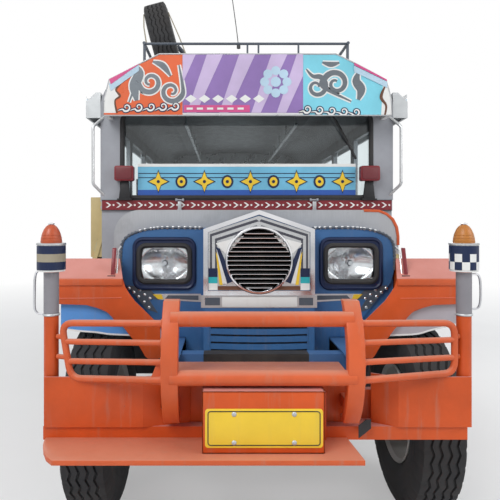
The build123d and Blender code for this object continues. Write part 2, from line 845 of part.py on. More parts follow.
def cowl():
    """The wide panel below the windscreen, its raised band, hood hinges and steering column."""
    front, rear = body_front_y - screen_wall, body_front_y - screen_wall + cowl_wall
    foot_z = rail_z + rail_height
    outline = [(-cowl_half, foot_z), (cowl_half, foot_z), (cowl_half, cowl_top_z), (-cowl_half, cowl_top_z)]
    panel = across(polygon(outline), front, rear)
    panel += box(-cowl_half, cowl_half, rear - 1, body_front_y, foot_z, foot_z + 40)
    panel += box(-cowl_half, cowl_half, front - band_thickness, front, cowl_top_z - band_height, cowl_top_z)
    reach = hinge_length / 2
    for x in (-hood_hinge_x, hood_hinge_x):
        low, high = x - reach - hinge_lug, x + reach + hinge_lug
        panel += rod((low, hood_hinge_y, hood_hinge_z), (high, hood_hinge_y, hood_hinge_z), hinge_pin_diameter)
        for x0, x1 in ((x + reach + 1, high), (low, x - reach - 1)):
            panel += rod((x0, hood_hinge_y, hood_hinge_z), (x1, hood_hinge_y, hood_hinge_z), 2 * hinge_radius)
            panel += box(x0, x1, hood_hinge_y, front - band_thickness + 1, hood_hinge_z - 9, hood_hinge_z + 1)
    start, stop = column_points()
    tube = rod(start, stop, column_diameter)
    tube -= box(-far, far, -far, rear, 0, far)
    tube -= rod(start, stop, column_shaft_diameter + 2 * bearing_gap)
    return panel + tube


def column_points():
    """Both ends of the steering column's tube, on the axis that the steering wheel turns about."""
    y, z = body_front_y - 30, cowl_top_z - 291
    return (column_x, y, z), (column_x, y + 310, z + 200)


def column_axis():
    """The steering column's direction, from the cowl to the steering wheel."""
    start, stop = (Vector(*point) for point in column_points())
    return (stop - start).normalized()


def steering_wheel():
    """The rim, three spokes, hub and the shaft inside the column."""
    start, stop = (Vector(*point) for point in column_points())
    axis = column_axis()
    centre = stop + axis * 45
    plane = Plane(origin=centre, x_dir=(1, 0, 0), z_dir=axis)
    radius = wheel_rim_diameter / 2
    wheel = plane * Torus(radius - 12, 12)
    for angle in (90, 210, 330):
        spoke = Rot(0, 0, angle) * Pos(radius / 2 - 6, 0, 0) * Box(radius - 16, 24, 8)
        wheel += plane * spoke
    wheel += plane * Cylinder(38, 30)
    shaft_start = start + axis * 60
    wheel += rod(tuple(shaft_start), tuple(centre), column_shaft_diameter)
    return wheel


def visor_outline(inset):
    """The visor board's outline, drawn inwards by inset and down past its lower edge."""
    drop = 0 if inset == 0 else -60
    half, low, high = visor_half - inset, visor_bottom_z, visor_bottom_z + visor_height
    points = [
        (half, low + drop), (half - 4, low + 97), (half - 32, low + 212 - inset * 0.4),
        (half - 218 + inset * 0.4, high - 54 - inset), (half - 330 + inset * 0.6, high - inset),
    ]
    return polygon(mirrored(points))


def visor():
    """The sign board above the windscreen, a shell open below and behind."""
    rear = body_front_y - screen_wall
    shell = across(visor_outline(0), visor_front_y, rear)
    return shell - across(visor_outline(visor_wall), visor_front_y + visor_wall, rear + 1)


# Front panel, chrome frame and lamps
shell_profile = ((27, -256), (123, -131), (167, -81), (180, -28), (182, 27), (172, 92), (127, 127), (27, 148))
shell_points = [(lamp_x + x, lamp_z + z) for x, z in shell_profile]


def nose_points(inset, base_z):
    """The pentagon of the nose, drawn inwards by inset, on base_z."""
    half = nose_half - inset
    return mirrored([(half, base_z), (half, nose_shoulder_z - inset * 0.7), (0, nose_apex_z - inset)])


def grille_shell():
    """The front panel with lamp recesses, and the nose box ahead of it with its round opening."""
    back = shell_front_y + shell_depth
    shell = across(polygon(mirrored(shell_points)), shell_front_y, back)
    shell += across(polygon(nose_points(0, nose_bottom_z)), nose_front_y, shell_front_y + shell_wall)
    inner = [(x - shell_wall, z - (shell_wall if z > lamp_z else -shell_wall)) for x, z in shell_points]
    shell -= across(polygon(mirrored(inner)), shell_front_y + shell_wall, back + 1)
    shell -= across(polygon(nose_points(shell_wall, nose_bottom_z + shell_wall)),
                    nose_front_y + shell_wall, shell_front_y + shell_wall + 1)
    half_w, half_h = recess_width / 2, recess_height / 2
    recess = rounded(lamp_x - half_w, lamp_x + half_w, lamp_z - half_h, lamp_z + half_h, 18)
    shell -= both_sides(across(recess, shell_front_y - 1, shell_front_y + shell_wall + 1))
    shell -= rod((0, nose_front_y - 1, medallion_z), (0, nose_front_y + shell_wall + 1, medallion_z),
                 2 * (medallion_radius - medallion_rim))
    width = nose_half - 2 * shell_wall
    shell -= box(-width, width, nose_front_y - 1, nose_front_y + shell_wall + 1,
                 louvre_bottom_z, louvre_top_z)
    leg = rail_x - 30
    foot = rail_z + rail_height
    shell += both_sides(box(leg, leg + 60, shell_front_y + shell_wall, back, foot, foot + 60))
    return shell


def grille_frame():
    """The chrome pentagon on the face of the nose."""
    front = nose_front_y - frame_thickness
    frame = across(polygon(nose_points(0, frame_bottom_z)), front, nose_front_y)
    inner = polygon(nose_points(frame_width, frame_bottom_z + frame_width))
    frame -= across(inner, front - 1, nose_front_y + 1)
    notch = 2 * (medallion_radius + seat_gap)
    return frame - rod((0, front - 1, medallion_z), (0, nose_front_y + 1, medallion_z), notch)


def medallion():
    """The round chrome rim on the nose, with tilted slats held in it."""
    front = nose_front_y - frame_thickness - 4
    bore = medallion_radius - medallion_rim
    rim = rod((0, front, medallion_z), (0, nose_front_y, medallion_z), 2 * medallion_radius)
    hole = rod((0, front - 1, medallion_z), (0, nose_front_y + 1, medallion_z), 2 * bore)
    badge = rim - hole
    disc = rod((0, front, medallion_z), (0, nose_front_y, medallion_z), 2 * bore + 2)
    pitch = 2 * bore / slat_count
    for row in range(slat_count):
        z = medallion_z - bore + pitch * (row + 0.5)
        slat = Pos(0, (front + nose_front_y) / 2, z) * Rot(35, 0, 0) * Box(2 * bore + 2, 4, 24)
        badge += slat & disc
    return badge


def bezels():
    """A stepped frame in each lamp recess, open for the lamp."""
    gap = seat_gap
    half_w, half_h = recess_width / 2 - gap, recess_height / 2 - gap
    front, rear = shell_front_y - 6, shell_front_y + bezel_depth
    outer = rounded(lamp_x - half_w, lamp_x + half_w, lamp_z - half_h, lamp_z + half_h, 17)
    opening = rounded(lamp_x - lamp_width / 2, lamp_x + lamp_width / 2, lamp_z - lamp_height / 2,
                      lamp_z + lamp_height / 2, 14)
    frame = across(outer, front, rear) - across(opening, front - 1, rear + 1)
    return both_sides(frame)


def headlamps():
    """Two rectangular sealed lamps with a crowned face."""
    gap = seat_gap
    half_w, half_h = lamp_width / 2 - gap, lamp_height / 2 - gap
    front = shell_front_y + 2
    outline = rounded(lamp_x - half_w, lamp_x + half_w, lamp_z - half_h, lamp_z + half_h, 13)
    lamp = across(outline, front, front + lamp_depth)
    return both_sides(lamp)


def lower_louvres():
    """Slats in a frame in the nose's lower opening."""
    half = nose_half - 2 * shell_wall - seat_gap
    low, high = louvre_bottom_z + seat_gap, louvre_top_z - seat_gap
    front, rear = nose_front_y, nose_front_y + shell_wall
    panel = box(-half, half, front, rear, low, high)
    panel -= box(-half + 10, half - 10, front - 1, rear + 1, low + 10, high - 10)
    inside = box(-half, half, front, rear, low, high)
    pitch = (high - low - 20) / louvre_count
    for row in range(louvre_count):
        z = low + 10 + pitch * (row + 0.5)
        slat = Pos(0, (front + rear) / 2, z) * Rot(40, 0, 0) * Box(2 * half - 10, 3, 18)
        panel += slat & inside
    return panel


# Hood and fenders
def hood_section(half, top_z, inset):
    """The hood's arch in XZ, drawn inwards by inset; its foot goes down with inset."""
    base = hood_bottom_z - (10 if inset else 0)
    side, top = half - inset, top_z - inset
    bend = hood_shoulder - inset
    drop = (1 - math.sqrt(0.5)) * bend

    def flip(point):
        return (-point[0], point[1])

    foot, start, middle, end = (side, base), (side, top - bend), (side - drop, top - drop), (side - bend, top)
    edge = Line(flip(foot), foot) + Line(foot, start) + ThreePointArc(start, middle, end)
    edge += Line(end, flip(end)) + ThreePointArc(flip(end), flip(middle), flip(start))
    edge += Line(flip(start), flip(foot))
    return make_face(edge)


def hood_body(inset):
    """The hood's tapering form between its two arches."""
    planes = [
        Plane(origin=(0, y, 0), x_dir=(1, 0, 0), z_dir=(0, -1, 0))
        for y in (hood_front_y + inset, hood_rear_y)
    ]
    arches = [
        planes[0] * hood_section(hood_front_half, hood_front_top_z, inset),
        planes[1] * hood_section(hood_rear_half, hood_rear_top_z, inset),
    ]
    return loft(arches, ruled=True)


def hood():
    """The lid over the engine, with a front wall and two hinge barrels at the rear."""
    lid = hood_body(0) - hood_body(hood_wall)
    reach, bore = hinge_length / 2, hinge_pin_diameter + 4 * bearing_gap
    for x in (-hood_hinge_x, hood_hinge_x):
        left, right = x - reach, x + reach
        lid += rod((left, hood_hinge_y, hood_hinge_z), (right, hood_hinge_y, hood_hinge_z), 2 * hinge_radius)
        lid += box(left, right, hood_hinge_y - 12, hood_hinge_y + 3, hood_rear_top_z - 8, hood_hinge_z)
        lid -= rod((left - 20, hood_hinge_y, hood_hinge_z), (right + 20, hood_hinge_y, hood_hinge_z), bore)
    return lid


def fender_profile(inset):
    """The fender's outline in YZ, drawn inwards by inset, open-footed."""
    base = fender_tail_z - 40
    return polygon([
        (fender_front_y + inset, base), (fender_front_y + inset, fender_nose_z - inset * 0.6),
        (fender_crown_y, fender_crown_z - inset),
        (fender_shoulder_y - inset * 0.2, fender_shoulder_z - inset),
        (fender_tail_y - inset, fender_tail_z + 60), (fender_tail_y - inset, base),
    ])


def fender():
    """The driver's front fender: nose, crowned top, outer wall and inner apron back to the cowl."""
    wall = fender_wall
    inner, outer = fender_inner_x, fender_outer_x
    shape = sideways(fender_profile(0), inner, outer)
    shape -= sideways(fender_profile(wall), inner + wall, outer - wall)
    shape -= box(0, far, -far, far, 0, fender_tail_z)
    low, edge = fender_tail_z - 100, fender_edge_z
    arch = polygon([(inner - 1, low), (inner - 1, edge - 59), (inner + 24, edge - 32), (inner + 87, edge - 7),
                    (outer - 70, edge), (outer + 1, edge), (outer + 1, low)])
    shape -= across(arch, fender_front_y - 1, front_axle_y)
    for start_x, diameter in ((inner + 20, 2 * fender_arch_radius), (inner - 1, 2 * fender_arch_radius - 60)):
        shape -= rod((start_x, front_axle_y, axle_z), (outer + 1, front_axle_y, axle_z), diameter)
    apron = polygon([
        (inner + 1, fender_nose_z), (inner + 1, edge - 59), (inner - 46, edge - 97),
        (inner - 99, edge - 161), (inner - 124, edge - 204), (inner - 168, edge - 241),
        (inner - 188, edge - 181), (inner - 155, edge - 109), (inner - 59, edge + 16),
        (inner - 33, edge + 66),
    ])
    shape += across(apron, fender_front_y, fender_front_y + wall)
    rear = body_front_y - screen_wall
    shape += box(inner, inner + wall, fender_shoulder_y - 60, rear,
                 fender_edge_z - 21, fender_shoulder_z - 20)
    return shape


def wheel_well():
    """The liner inside the driver's fender: slanted apron to the rail, ceiling and rear wall."""
    inner, outer = fender_inner_x - seat_gap, fender_outer_x - fender_wall - seat_gap
    edge = fender_inner_x + fender_wall + seat_gap
    rail = rail_x + rail_width / 2 + 4
    sheet = 8
    low = fender_edge_z - 41
    high = low + sheet
    foot = low - 132
    front, rear = fender_front_y + 60, well_rear_y
    knee = inner - 42.7
    apron = [(rail, foot), (knee, low), (inner, low), (inner, high), (knee - 4, high), (rail, foot + 11)]
    liner = across(polygon(apron), front, rear)
    end = [(rail, rail_z), (inner, rail_z), (inner, high), (knee - 4, high), (rail, foot + 11)]
    liner += across(polygon(end), rear - sheet, rear)
    ceiling = box(edge, outer, front, rear, low, high)
    ceiling += box(edge, outer, rear - sheet, rear, rail_z + 80, high)
    return liner + ceiling


# Bumper, bull bar and corner posts, all about the plane x = bumper_x
def bumper_beam():
    """The beam behind the bumper, its shelf and two horns that reach the chassis rails."""
    left, right = bumper_x - post_spread - 18, bumper_x + post_spread
    beam = box(left, right, beam_back_y - beam_wall, beam_back_y, beam_bottom_z, beam_top_z)
    return beam + box(left, right, shelf_front_y, beam_back_y - 1, beam_bottom_z, shelf_top_z)


def bumper_panels():
    """Two flat-faced panels on the shelf, turned back at their inner ends."""
    back = shelf_front_y + 50
    front, far_left, far_right = shelf_front_y - panel_wall, bumper_x - post_spread, bumper_x + post_spread
    left = [(far_left - 13, front), (far_left + 305, front), (far_left + 455, back - 12)]
    right = [(far_right + 10, front), (far_right - 225, front), (far_right - 300, back - 12)]
    pieces = None
    for row, points in enumerate((left, right)):
        outline = list(points) + [(x, y + panel_wall) for x, y in reversed(points)]
        panel = upward(polygon(outline), shelf_top_z, panel_top_z)
        x = bumper_x + (-bull_half if row == 0 else bull_half)
        slot = upright_width / 2 + 2
        panel -= box(x - slot, x + slot, front - 90, beam_back_y, horn_bottom_z - 4, horn_bottom_z + 46)
        pieces = panel if pieces is None else pieces + panel
    return pieces


def plate_box():
    """The box that carries the number plate, on the shelf's face."""
    half = plate_box_width / 2
    x = bumper_x + 18
    front = shelf_front_y - plate_box_depth
    return box(x - half, x + half, front, shelf_front_y, plate_box_bottom_z, plate_box_top_z)


def bumper_lip():
    """The thin step ahead of the bumper, longer on the passenger's side, on three arms."""
    left, right = bumper_x - post_spread + 22, bumper_x + bull_half + 21
    outline = [(left, lip_front_y), (right, lip_front_y), (right - lip_taper, lip_back_y), (left, lip_back_y)]
    lip = upward(polygon(outline), lip_bottom_z, lip_top_z)
    reach = lip_arm_width / 2
    for x in (left + 83, left + 383, right - 53):
        lip += box(x - reach, x + reach, lip_back_y - 1, beam_back_y - beam_wall,
                   lip_bottom_z, beam_bottom_z - seat_gap)
    return lip


def bull_bar():
    """Two bowed uprights with an upper and a lower tube, and four side bars to each post."""
    middle_z = (upright_bottom_z + upright_top_z) / 2
    reach, depth = (upright_top_z - upright_bottom_z) / 2, upright_end_y - upright_bow_y
    radius = (reach ** 2 + depth ** 2) / (2 * depth)

    def bow_y(z):
        return upright_bow_y + radius - math.sqrt(radius ** 2 - (z - middle_z) ** 2) + upright_wall / 2

    def strip(shift):
        start = (upright_end_y + shift, upright_bottom_z)
        middle = (upright_bow_y + shift, middle_z)
        end = (upright_end_y + shift, upright_top_z)
        return start, middle, end

    front, rear = strip(0), strip(upright_wall)
    edge = ThreePointArc(*front) + Line(front[2], rear[2])
    edge += ThreePointArc(rear[2], rear[1], rear[0]) + Line(rear[0], front[0])
    bar = None
    for side in (-1, 1):
        x = bumper_x + side * bull_half
        half = upright_width / 2
        upright = sideways(make_face(edge), x - half, x + half)
        upright += box(x - 20, x + 20, upright_bow_y + 40, beam_back_y - beam_wall,
                       horn_bottom_z, horn_bottom_z + 40)
        bar = upright if bar is None else bar + upright
    for z, diameter in ((bull_upper_z, bull_upper_diameter), (bull_lower_z, bull_lower_diameter)):
        bar += rod((bumper_x - bull_half, bow_y(z), z), (bumper_x + bull_half, bow_y(z), z), diameter)
    for side in (-1, 1):
        for z in side_bar_zs:
            start = (bumper_x + side * (bull_half + 15), bow_y(z), z)
            stop = (bumper_x + side * (post_spread - post_diameter / 2 - 4), post_y - 12, z)
            bar += rod(start, stop, side_bar_diameter)
    posts = None
    for side in (-1, 1):
        x = bumper_x + side * post_spread
        post = rod((x, post_y, 0), (x, post_y, far), post_diameter + 2 * seat_gap)
        collar = rod((x, post_y, side_bar_zs[0] - 8), (x, post_y, side_bar_zs[-1] + 8), post_diameter + 12)
        bar += collar
        posts = post if posts is None else posts + post
    return bar - posts


def corner_posts():
    """Two upright tubes on the shelf's ends."""
    posts = None
    for side in (-1, 1):
        x = bumper_x + side * post_spread
        post = rod((x, post_y, shelf_top_z), (x, post_y, post_top_z), post_diameter)
        posts = post if posts is None else posts + post
    return posts


def post_lamps():
    """A drum and a domed lens on each post."""
    lamps = None
    for side in (-1, 1):
        x = bumper_x + side * post_spread
        drum_top = post_top_z + post_lamp_height
        lamp = rod((x, post_y, post_top_z), (x, post_y, drum_top), post_lamp_diameter)
        dome = post_dome_diameter / 2
        dome_z = drum_top + post_dome_height - dome
        lamp += rod((x, post_y, drum_top - 1), (x, post_y, dome_z), post_dome_diameter)
        lamp += Pos(x, post_y, dome_z) * Sphere(dome)
        lamps = lamp if lamps is None else lamps + lamp
    return lamps


# Roof rack, spare wheel, eaves, grab loops and rear fittings
def spare_plane():
    """The leaning plane of the spare wheel: its axle is the plane's x direction."""
    lean = math.radians(spare_lean)
    outboard = (-math.cos(lean), 0, -math.sin(lean))
    up = (-math.sin(lean), 0, math.cos(lean))
    return Plane(origin=(spare_x, spare_y, spare_z), x_dir=outboard, z_dir=up)


def roof_rack():
    """Rails round a tray on posts that stand on the roof, and the spare wheel's carrier."""
    rail, post, bar = rack_tube_diameter, rack_post_diameter, rack_bar_diameter
    rack = rod((-rack_half, spare_y, rack_tray_z), (rack_half, spare_y, rack_tray_z), bar)
    for z in (rack_top_z, rack_tray_z):
        for x in (-rack_half, rack_half):
            rack += rod((x, rack_front_y - rail, z), (x, rack_rear_y + rail, z), rail)
        for y in (rack_front_y, rack_rear_y):
            rack += rod((-rack_half, y, z), (rack_half, y, z), bar)
    pitch = (rack_rear_y - rack_front_y) / (rack_posts - 1)
    for row in range(rack_posts):
        y = rack_front_y + pitch * row
        for x in (-rack_half, rack_half):
            rack += rod((x, y, rack_foot_z), (x, y, rack_top_z), post)
    for row in range(1, rack_posts - 1):
        y = rack_front_y + pitch * row
        rack += rod((-rack_half, y, rack_tray_z), (rack_half, y, rack_tray_z), bar)
    for x in rack_front_post_xs:
        rack += rod((x, rack_front_y, rack_tray_z), (x, rack_front_y, rack_top_z), rack_stay_diameter)
    hub = Vector(spare_x, spare_y, spare_z)
    inboard = -spare_plane().x_dir
    stud_end = hub + inboard * 110
    rack += rod(tuple(hub + inboard * 4), tuple(stud_end), spindle_diameter - 2 * seat_gap)
    rack += rod((-150, spare_y, rack_tray_z), tuple(stud_end - inboard * 10), 36)
    return rack - across(section(-seat_gap, skirt_z), -far, far)


def spare(piece):
    """A tyre or wheel set in the leaning plane of the spare."""
    return spare_plane() * piece


def side_eaves():
    """A board with a top lip and end caps along each side of the roof."""
    inner = body_width / 2 + seat_gap
    outer = body_width / 2 + eave_board_width
    low, high = eave_board_bottom_z, eave_board_top_z
    outline = polygon([(inner, low), (outer, low), (outer, high - 56), (outer - 60, high), (inner, high)])
    wall = eave_board_wall
    hollow = polygon([(inner - 1, low - 1), (outer - wall, low - 1), (outer - wall, high - 62),
                      (outer - 64, high - wall), (inner - 1, high - wall)])
    front = body_front_y - screen_wall
    board = across(outline, front, body_rear_y)
    return both_sides(board - across(hollow, front + wall, body_rear_y - wall))


def grab_loops():
    """A bent handle ahead of each windscreen pillar."""
    face = body_front_y - screen_wall
    root, hand = body_width / 2 - 22, body_width / 2 + 36
    foot, top = cowl_top_z + 27, cowl_top_z + 513
    ends = ((root, face + 8, top), (root, face + 8, foot))
    grips = ((hand, face - 44, top - 68), (hand, face - 44, foot + 68))
    route = FilletPolyline(ends[0], *grips, ends[1], radius=30)
    loop = sweep(Plane(origin=route @ 0, z_dir=route % 0) * Circle(grab_diameter / 2), path=route)
    return both_sides(loop - box(0, far, face, 0, 0, far))


def rear_step():
    """The passengers' step behind the doorway, on two brackets from the chassis rails."""
    rear_y = body_rear_y + end_wall
    half = step_width / 2
    step = box(-half, half, rear_y + 20, step_end_y, step_z, step_z + step_thickness)
    top = rail_z + rail_height
    tip_y, near_y = step_end_y - 30, rear_y + 20
    bracket = polygon([(rear_y, rail_z), (rear_y, top), (near_y, top), (tip_y, step_z + step_thickness - 1),
                       (tip_y, step_z), (near_y, step_z)])
    step += both_sides(sideways(bracket, rail_x - 6, rail_x + rail_width / 2))
    return step


def tail_lamps():
    """A rounded lamp box on each side of the rear wall."""
    rear_y = body_rear_y + end_wall
    x, z = body_width / 2 - 195, knee_z + 100
    outline = rounded(x, x + 90, z, z + 180, 20)
    return both_sides(across(outline, rear_y, rear_y + 38))


the_tyre, the_wheel = tyre(), wheel()
the_door, the_side, the_knuckle = half_door(), body_side(), knuckle()

nodes = {
    "chassis_frame": chassis_frame(),
    "cross_members": cross_members(),
    "engine": engine(),
    "drive_shaft": drive_shaft(),
    "exhaust": exhaust(),
    "fuel_tank": fuel_tank(),
    "front_axle": front_axle(),
    "rear_axle": rear_axle(),
    "leaf_springs": leaf_springs(),
    "knuckle_left": the_knuckle,
    "knuckle_right": other_side(the_knuckle),
    "tie_rod": tie_rod(),
    "roof": roof(),
    "body_sides": both_sides(the_side),
    "door_left": the_door,
    "door_right": other_side(the_door),
    "rear_frame": rear_frame(),
    "floor": floor(),
    "benches": both_sides(bench_base()),
    "bench_cushions": both_sides(bench_cushion()),
    "front_seat_base": front_seat_base(),
    "front_seat_cushions": front_seat_cushion() + front_seat_back(),
    "ceiling_rails": ceiling_rails(),
    "windscreen_frame": screen_frame(),
    "windscreen_glass": screen_glass(),
    "windscreen_board": screen_board(),
    "cowl": cowl(),
    "steering_wheel": steering_wheel(),
    "visor": visor(),
    "grille_shell": grille_shell(),
    "grille_frame": grille_frame(),
    "medallion": medallion(),
    "headlamp_bezels": bezels(),
    "headlamps": headlamps(),
    "lower_louvres": lower_louvres(),
    "hood": hood(),
    "front_fenders": both_sides(fender()),
    "wheel_wells": both_sides(wheel_well()),
    "bumper_beam": bumper_beam() + plate_box(),
    "bumper_panels": bumper_panels(),
    "bumper_lip": bumper_lip(),
    "bull_bar": bull_bar(),
    "corner_posts": corner_posts(),
    "post_lamps": post_lamps(),
    "roof_rack": roof_rack(),
    "spare_tyre": spare(the_tyre),
    "spare_wheel": spare(the_wheel),
    "side_eaves": side_eaves(),
    "grab_loops": grab_loops(),
    "rear_step": rear_step(),
    "tail_lamps": tail_lamps(),
}
corners = (("front_left", front_axle_y, front_track, 1), ("front_right", front_axle_y, front_track, -1),
           ("rear_left", rear_axle_y, rear_track, 1), ("rear_right", rear_axle_y, rear_track, -1))
for corner, axle_y, track, side in corners:
    nodes["wheel_" + corner] = placed(the_wheel, side * track / 2, axle_y)
    nodes["tyre_" + corner] = placed(the_tyre, side * track / 2, axle_y)

os.makedirs("parts", exist_ok=True)
for node, shape in nodes.items():
    export_step(shape, "parts/" + node + ".step")
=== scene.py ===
"""A passenger jeepney: materials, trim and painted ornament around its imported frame, in metres."""

from math import cos, hypot, pi, radians, sin, sqrt, tau

import bmesh
import bpy
from mathutils import Matrix, Vector


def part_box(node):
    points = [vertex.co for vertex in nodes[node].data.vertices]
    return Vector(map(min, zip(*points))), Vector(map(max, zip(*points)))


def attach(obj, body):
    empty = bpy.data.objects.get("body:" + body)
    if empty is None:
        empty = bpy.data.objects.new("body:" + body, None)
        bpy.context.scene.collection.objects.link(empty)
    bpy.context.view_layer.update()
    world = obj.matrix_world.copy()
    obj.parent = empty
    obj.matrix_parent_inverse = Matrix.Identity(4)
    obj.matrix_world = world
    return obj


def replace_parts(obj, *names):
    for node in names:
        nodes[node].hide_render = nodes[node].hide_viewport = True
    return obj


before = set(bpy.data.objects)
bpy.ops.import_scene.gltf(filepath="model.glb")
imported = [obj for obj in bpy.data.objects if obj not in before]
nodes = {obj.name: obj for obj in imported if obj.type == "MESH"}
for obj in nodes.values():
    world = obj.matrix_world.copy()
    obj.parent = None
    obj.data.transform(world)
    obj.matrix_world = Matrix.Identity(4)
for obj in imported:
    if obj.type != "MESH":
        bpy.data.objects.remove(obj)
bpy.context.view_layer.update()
scene = bpy.context.scene

# Camera: the photograph's eye, its vanishing point and focal length in pixels of a 500 px square
EYE = Vector((-.14, -4.675, 1.165))
FOCAL = 550
VANISH = (224, 221)
FRAME_PX = 500
SENSOR = 36.0


def at(px, py, y):
    """The X and Z on the upright plane at y that the photograph shows at a pixel."""
    scale = (y - EYE.y) / FOCAL
    return ((px - VANISH[0]) * scale + EYE.x, EYE.z - (py - VANISH[1]) * scale)


camera = bpy.data.objects.new("camera", bpy.data.cameras.new("camera"))
scene.collection.objects.link(camera)
camera.location = EYE
camera.rotation_euler = (pi / 2, 0, 0)
camera.data.sensor_width = SENSOR
camera.data.lens = SENSOR * FOCAL / FRAME_PX
camera.data.shift_x = (FRAME_PX / 2 - VANISH[0]) / FRAME_PX
camera.data.shift_y = (VANISH[1] - FRAME_PX / 2) / FRAME_PX
scene.camera = camera


# Materials
class Shade:
    """A procedural material on object coordinates, so that it needs no unwrapping."""

    def __init__(self, name, rough=.5, metal=0.0, **sockets):
        self.mat = bpy.data.materials.new(name)
        self.mat.use_nodes = True
        self.tree = self.mat.node_tree
        self.shader = self.tree.nodes["Principled BSDF"]
        self.put(self.shader.inputs["Roughness"], rough)
        self.put(self.shader.inputs["Metallic"], metal)
        for key, value in sockets.items():
            self.put(self.shader.inputs[key.replace("_", " ")], value)
        self.coords = self.tree.nodes.new("ShaderNodeTexCoord").outputs["Object"]

    def put(self, socket, value):
        """Links or sets a socket; a three-number colour gets its alpha."""
        if isinstance(value, bpy.types.NodeSocket):
            self.tree.links.new(value, socket)
        elif isinstance(value, tuple) and len(value) == 3 and socket.type == "RGBA":
            socket.default_value = (*value, 1)
        else:
            socket.default_value = value

    def node(self, kind, inputs=(), **settings):
        made = self.tree.nodes.new("ShaderNode" + kind)
        for key, value in settings.items():
            setattr(made, key, value)
        for key, value in dict(inputs).items():
            self.put(made.inputs[key], value)
        return made

    def stretch(self, scale):
        return self.node("Mapping", {"Vector": self.coords, "Scale": scale}).outputs[0]

    def noise(self, scale, detail=4, rough=.6, vector=None, distortion=0.0):
        made = self.node("TexNoise", {"Vector": vector or self.coords, "Scale": scale, "Detail": detail,
                                      "Roughness": rough, "Distortion": distortion})
        return made.outputs["Fac"]

    def span(self, value, low, high, out_low=0.0, out_high=1.0):
        made = self.node("MapRange", {"Value": value, "From Min": low, "From Max": high,
                                      "To Min": out_low, "To Max": out_high}, clamp=True)
        return made.outputs[0]

    def math(self, kind, a, b):
        made = self.node("Math", operation=kind)
        self.put(made.inputs[0], a)
        self.put(made.inputs[1], b)
        return made.outputs[0]

    def times(self, a, b):
        return self.math("MULTIPLY", a, b)

    def mix(self, factor, a, b):
        made = self.node("Mix", data_type="RGBA")
        self.put(made.inputs[0], factor)
        self.put(made.inputs[6], a)
        self.put(made.inputs[7], b)
        return made.outputs[2]

    def axis(self, name):
        return self.node("SeparateXYZ", {"Vector": self.coords}).outputs[name]

    def facing(self, name):
        """One part of the surface's normal."""
        return self.node("SeparateXYZ", {"Vector": self.node("NewGeometry").outputs["Normal"]}).outputs[name]

    def inward(self):
        """1 on a side wall's face towards the cabin, 0 outside."""
        return self.span(self.times(self.axis("X"), self.facing("X")), -.3, -.1, 1.0, 0.0)

    def color(self, value):
        self.put(self.shader.inputs["Base Color"], value)
        return self

    def roughness(self, value):
        self.put(self.shader.inputs["Roughness"], value)
        return self

    def bump(self, height, strength=.2, distance=.002):
        made = self.node("Bump", {"Height": height, "Strength": strength, "Distance": distance})
        self.put(self.shader.inputs["Normal"], made.outputs[0])
        return self


def darker(color, share):
    return tuple(c * share for c in color)


def paint(name, color, rough=.38, chips=.5, dust=.5, fade=.12, dust_and_top_light=None, worn=.715):
    """Old brushed-on gloss paint: mottled, chipped to primer, dusty low down; a pale colour on what faces up
    is dust and painted top light.
    """
    made = Shade(name, Coat_Weight=.05, Coat_Roughness=.3, Specular_IOR_Level=.35)
    cloud = made.noise(3.1, 5, .65)
    light = tuple(min(1, c * (1 + fade)) for c in color)
    tone = made.mix(made.span(cloud, .3, .7), darker(color, 1 - fade), light)
    streak = made.noise(1.0, 6, .7, made.stretch((26, 26, 2.2)))
    grime = made.times(made.span(streak, .55, .8), made.span(made.axis("Z"), 1.5, .3, .15, 1.0))
    tone = made.mix(made.times(grime, dust), tone, (.3, .25, .2))
    speck = made.noise(31, 8, .72, distortion=.4)
    chip = made.times(made.span(speck, worn, worn + .02), chips)
    tone = made.mix(chip, tone, (.13, .09, .07))
    # Dust and painted top light: what faces up is paled towards the given colour
    if dust_and_top_light:
        tone = made.mix(made.times(made.span(made.facing("Z"), .45, .95, 0.0, .8),
                                  made.span(cloud, .2, .6, .6, 1.0)), tone, dust_and_top_light)
    made.color(tone)
    made.roughness(made.span(made.noise(9, 4), .3, .7, rough - .08, rough + .14))
    wave = made.math("ADD", made.noise(140, 2), made.times(made.noise(7, 3), 3.0))
    return made.bump(made.math("SUBTRACT", wave, made.times(chip, 1.2)), .16, .0016).mat


def steel(name, color, rough=.3, along=(2, 2, 90), stain=.35, metal=1.0, inside_shade=None):
    """Sheet steel with a brushed grain and stains; a given dark colour paints shade on what faces down or
    into the cabin.
    """
    made = Shade(name, metal=metal)
    grain = made.noise(6, 3, .5, made.stretch(along))
    cloud = made.noise(4.2, 5, .7)
    tone = made.mix(made.span(grain, .3, .7, 0.0, .35), color, darker(color, .72))
    tone = made.mix(made.times(made.span(cloud, .5, .75), stain), tone, darker(color, .5))
    # Painted shade: what faces down or into the cabin takes the dark colour
    if inside_shade:
        shade_share = made.math("MAXIMUM", made.span(made.facing("Z"), -.5, -.2, 1.0, 0.0), made.inward())
        tone = made.mix(shade_share, tone, inside_shade)
    made.color(tone)
    made.roughness(made.span(made.noise(11, 4), .25, .75, rough - .06, rough + .14))
    return made.bump(made.math("ADD", grain, made.times(made.noise(5, 2), 2.0)), .08, .001).mat


def chrome(name, color=(.8, .8, .82), rough=.1):
    """Plated metal with a faint haze, pits and fingerprints."""
    made = Shade(name, metal=1.0)
    pits = made.span(made.noise(90, 6, .7), .68, .74)
    made.color(made.mix(made.times(pits, .5), color, (.28, .22, .18)))
    made.roughness(made.span(made.noise(13, 5), .35, .75, rough, rough + .16))
    return made.bump(made.noise(22, 2), .03, .001).mat


def rubber(name, color=(.026, .026, .028), dust=.22):
    """Rubber with a dusty bloom."""
    made = Shade(name, rough=.8)
    cloud = made.noise(6, 6, .7)
    made.color(made.mix(made.times(made.span(cloud, .42, .75), dust), color, (.24, .215, .19)))
    made.roughness(made.span(cloud, .3, .7, .62, .92))
    return made.bump(made.noise(190, 4), .25, .0012).mat


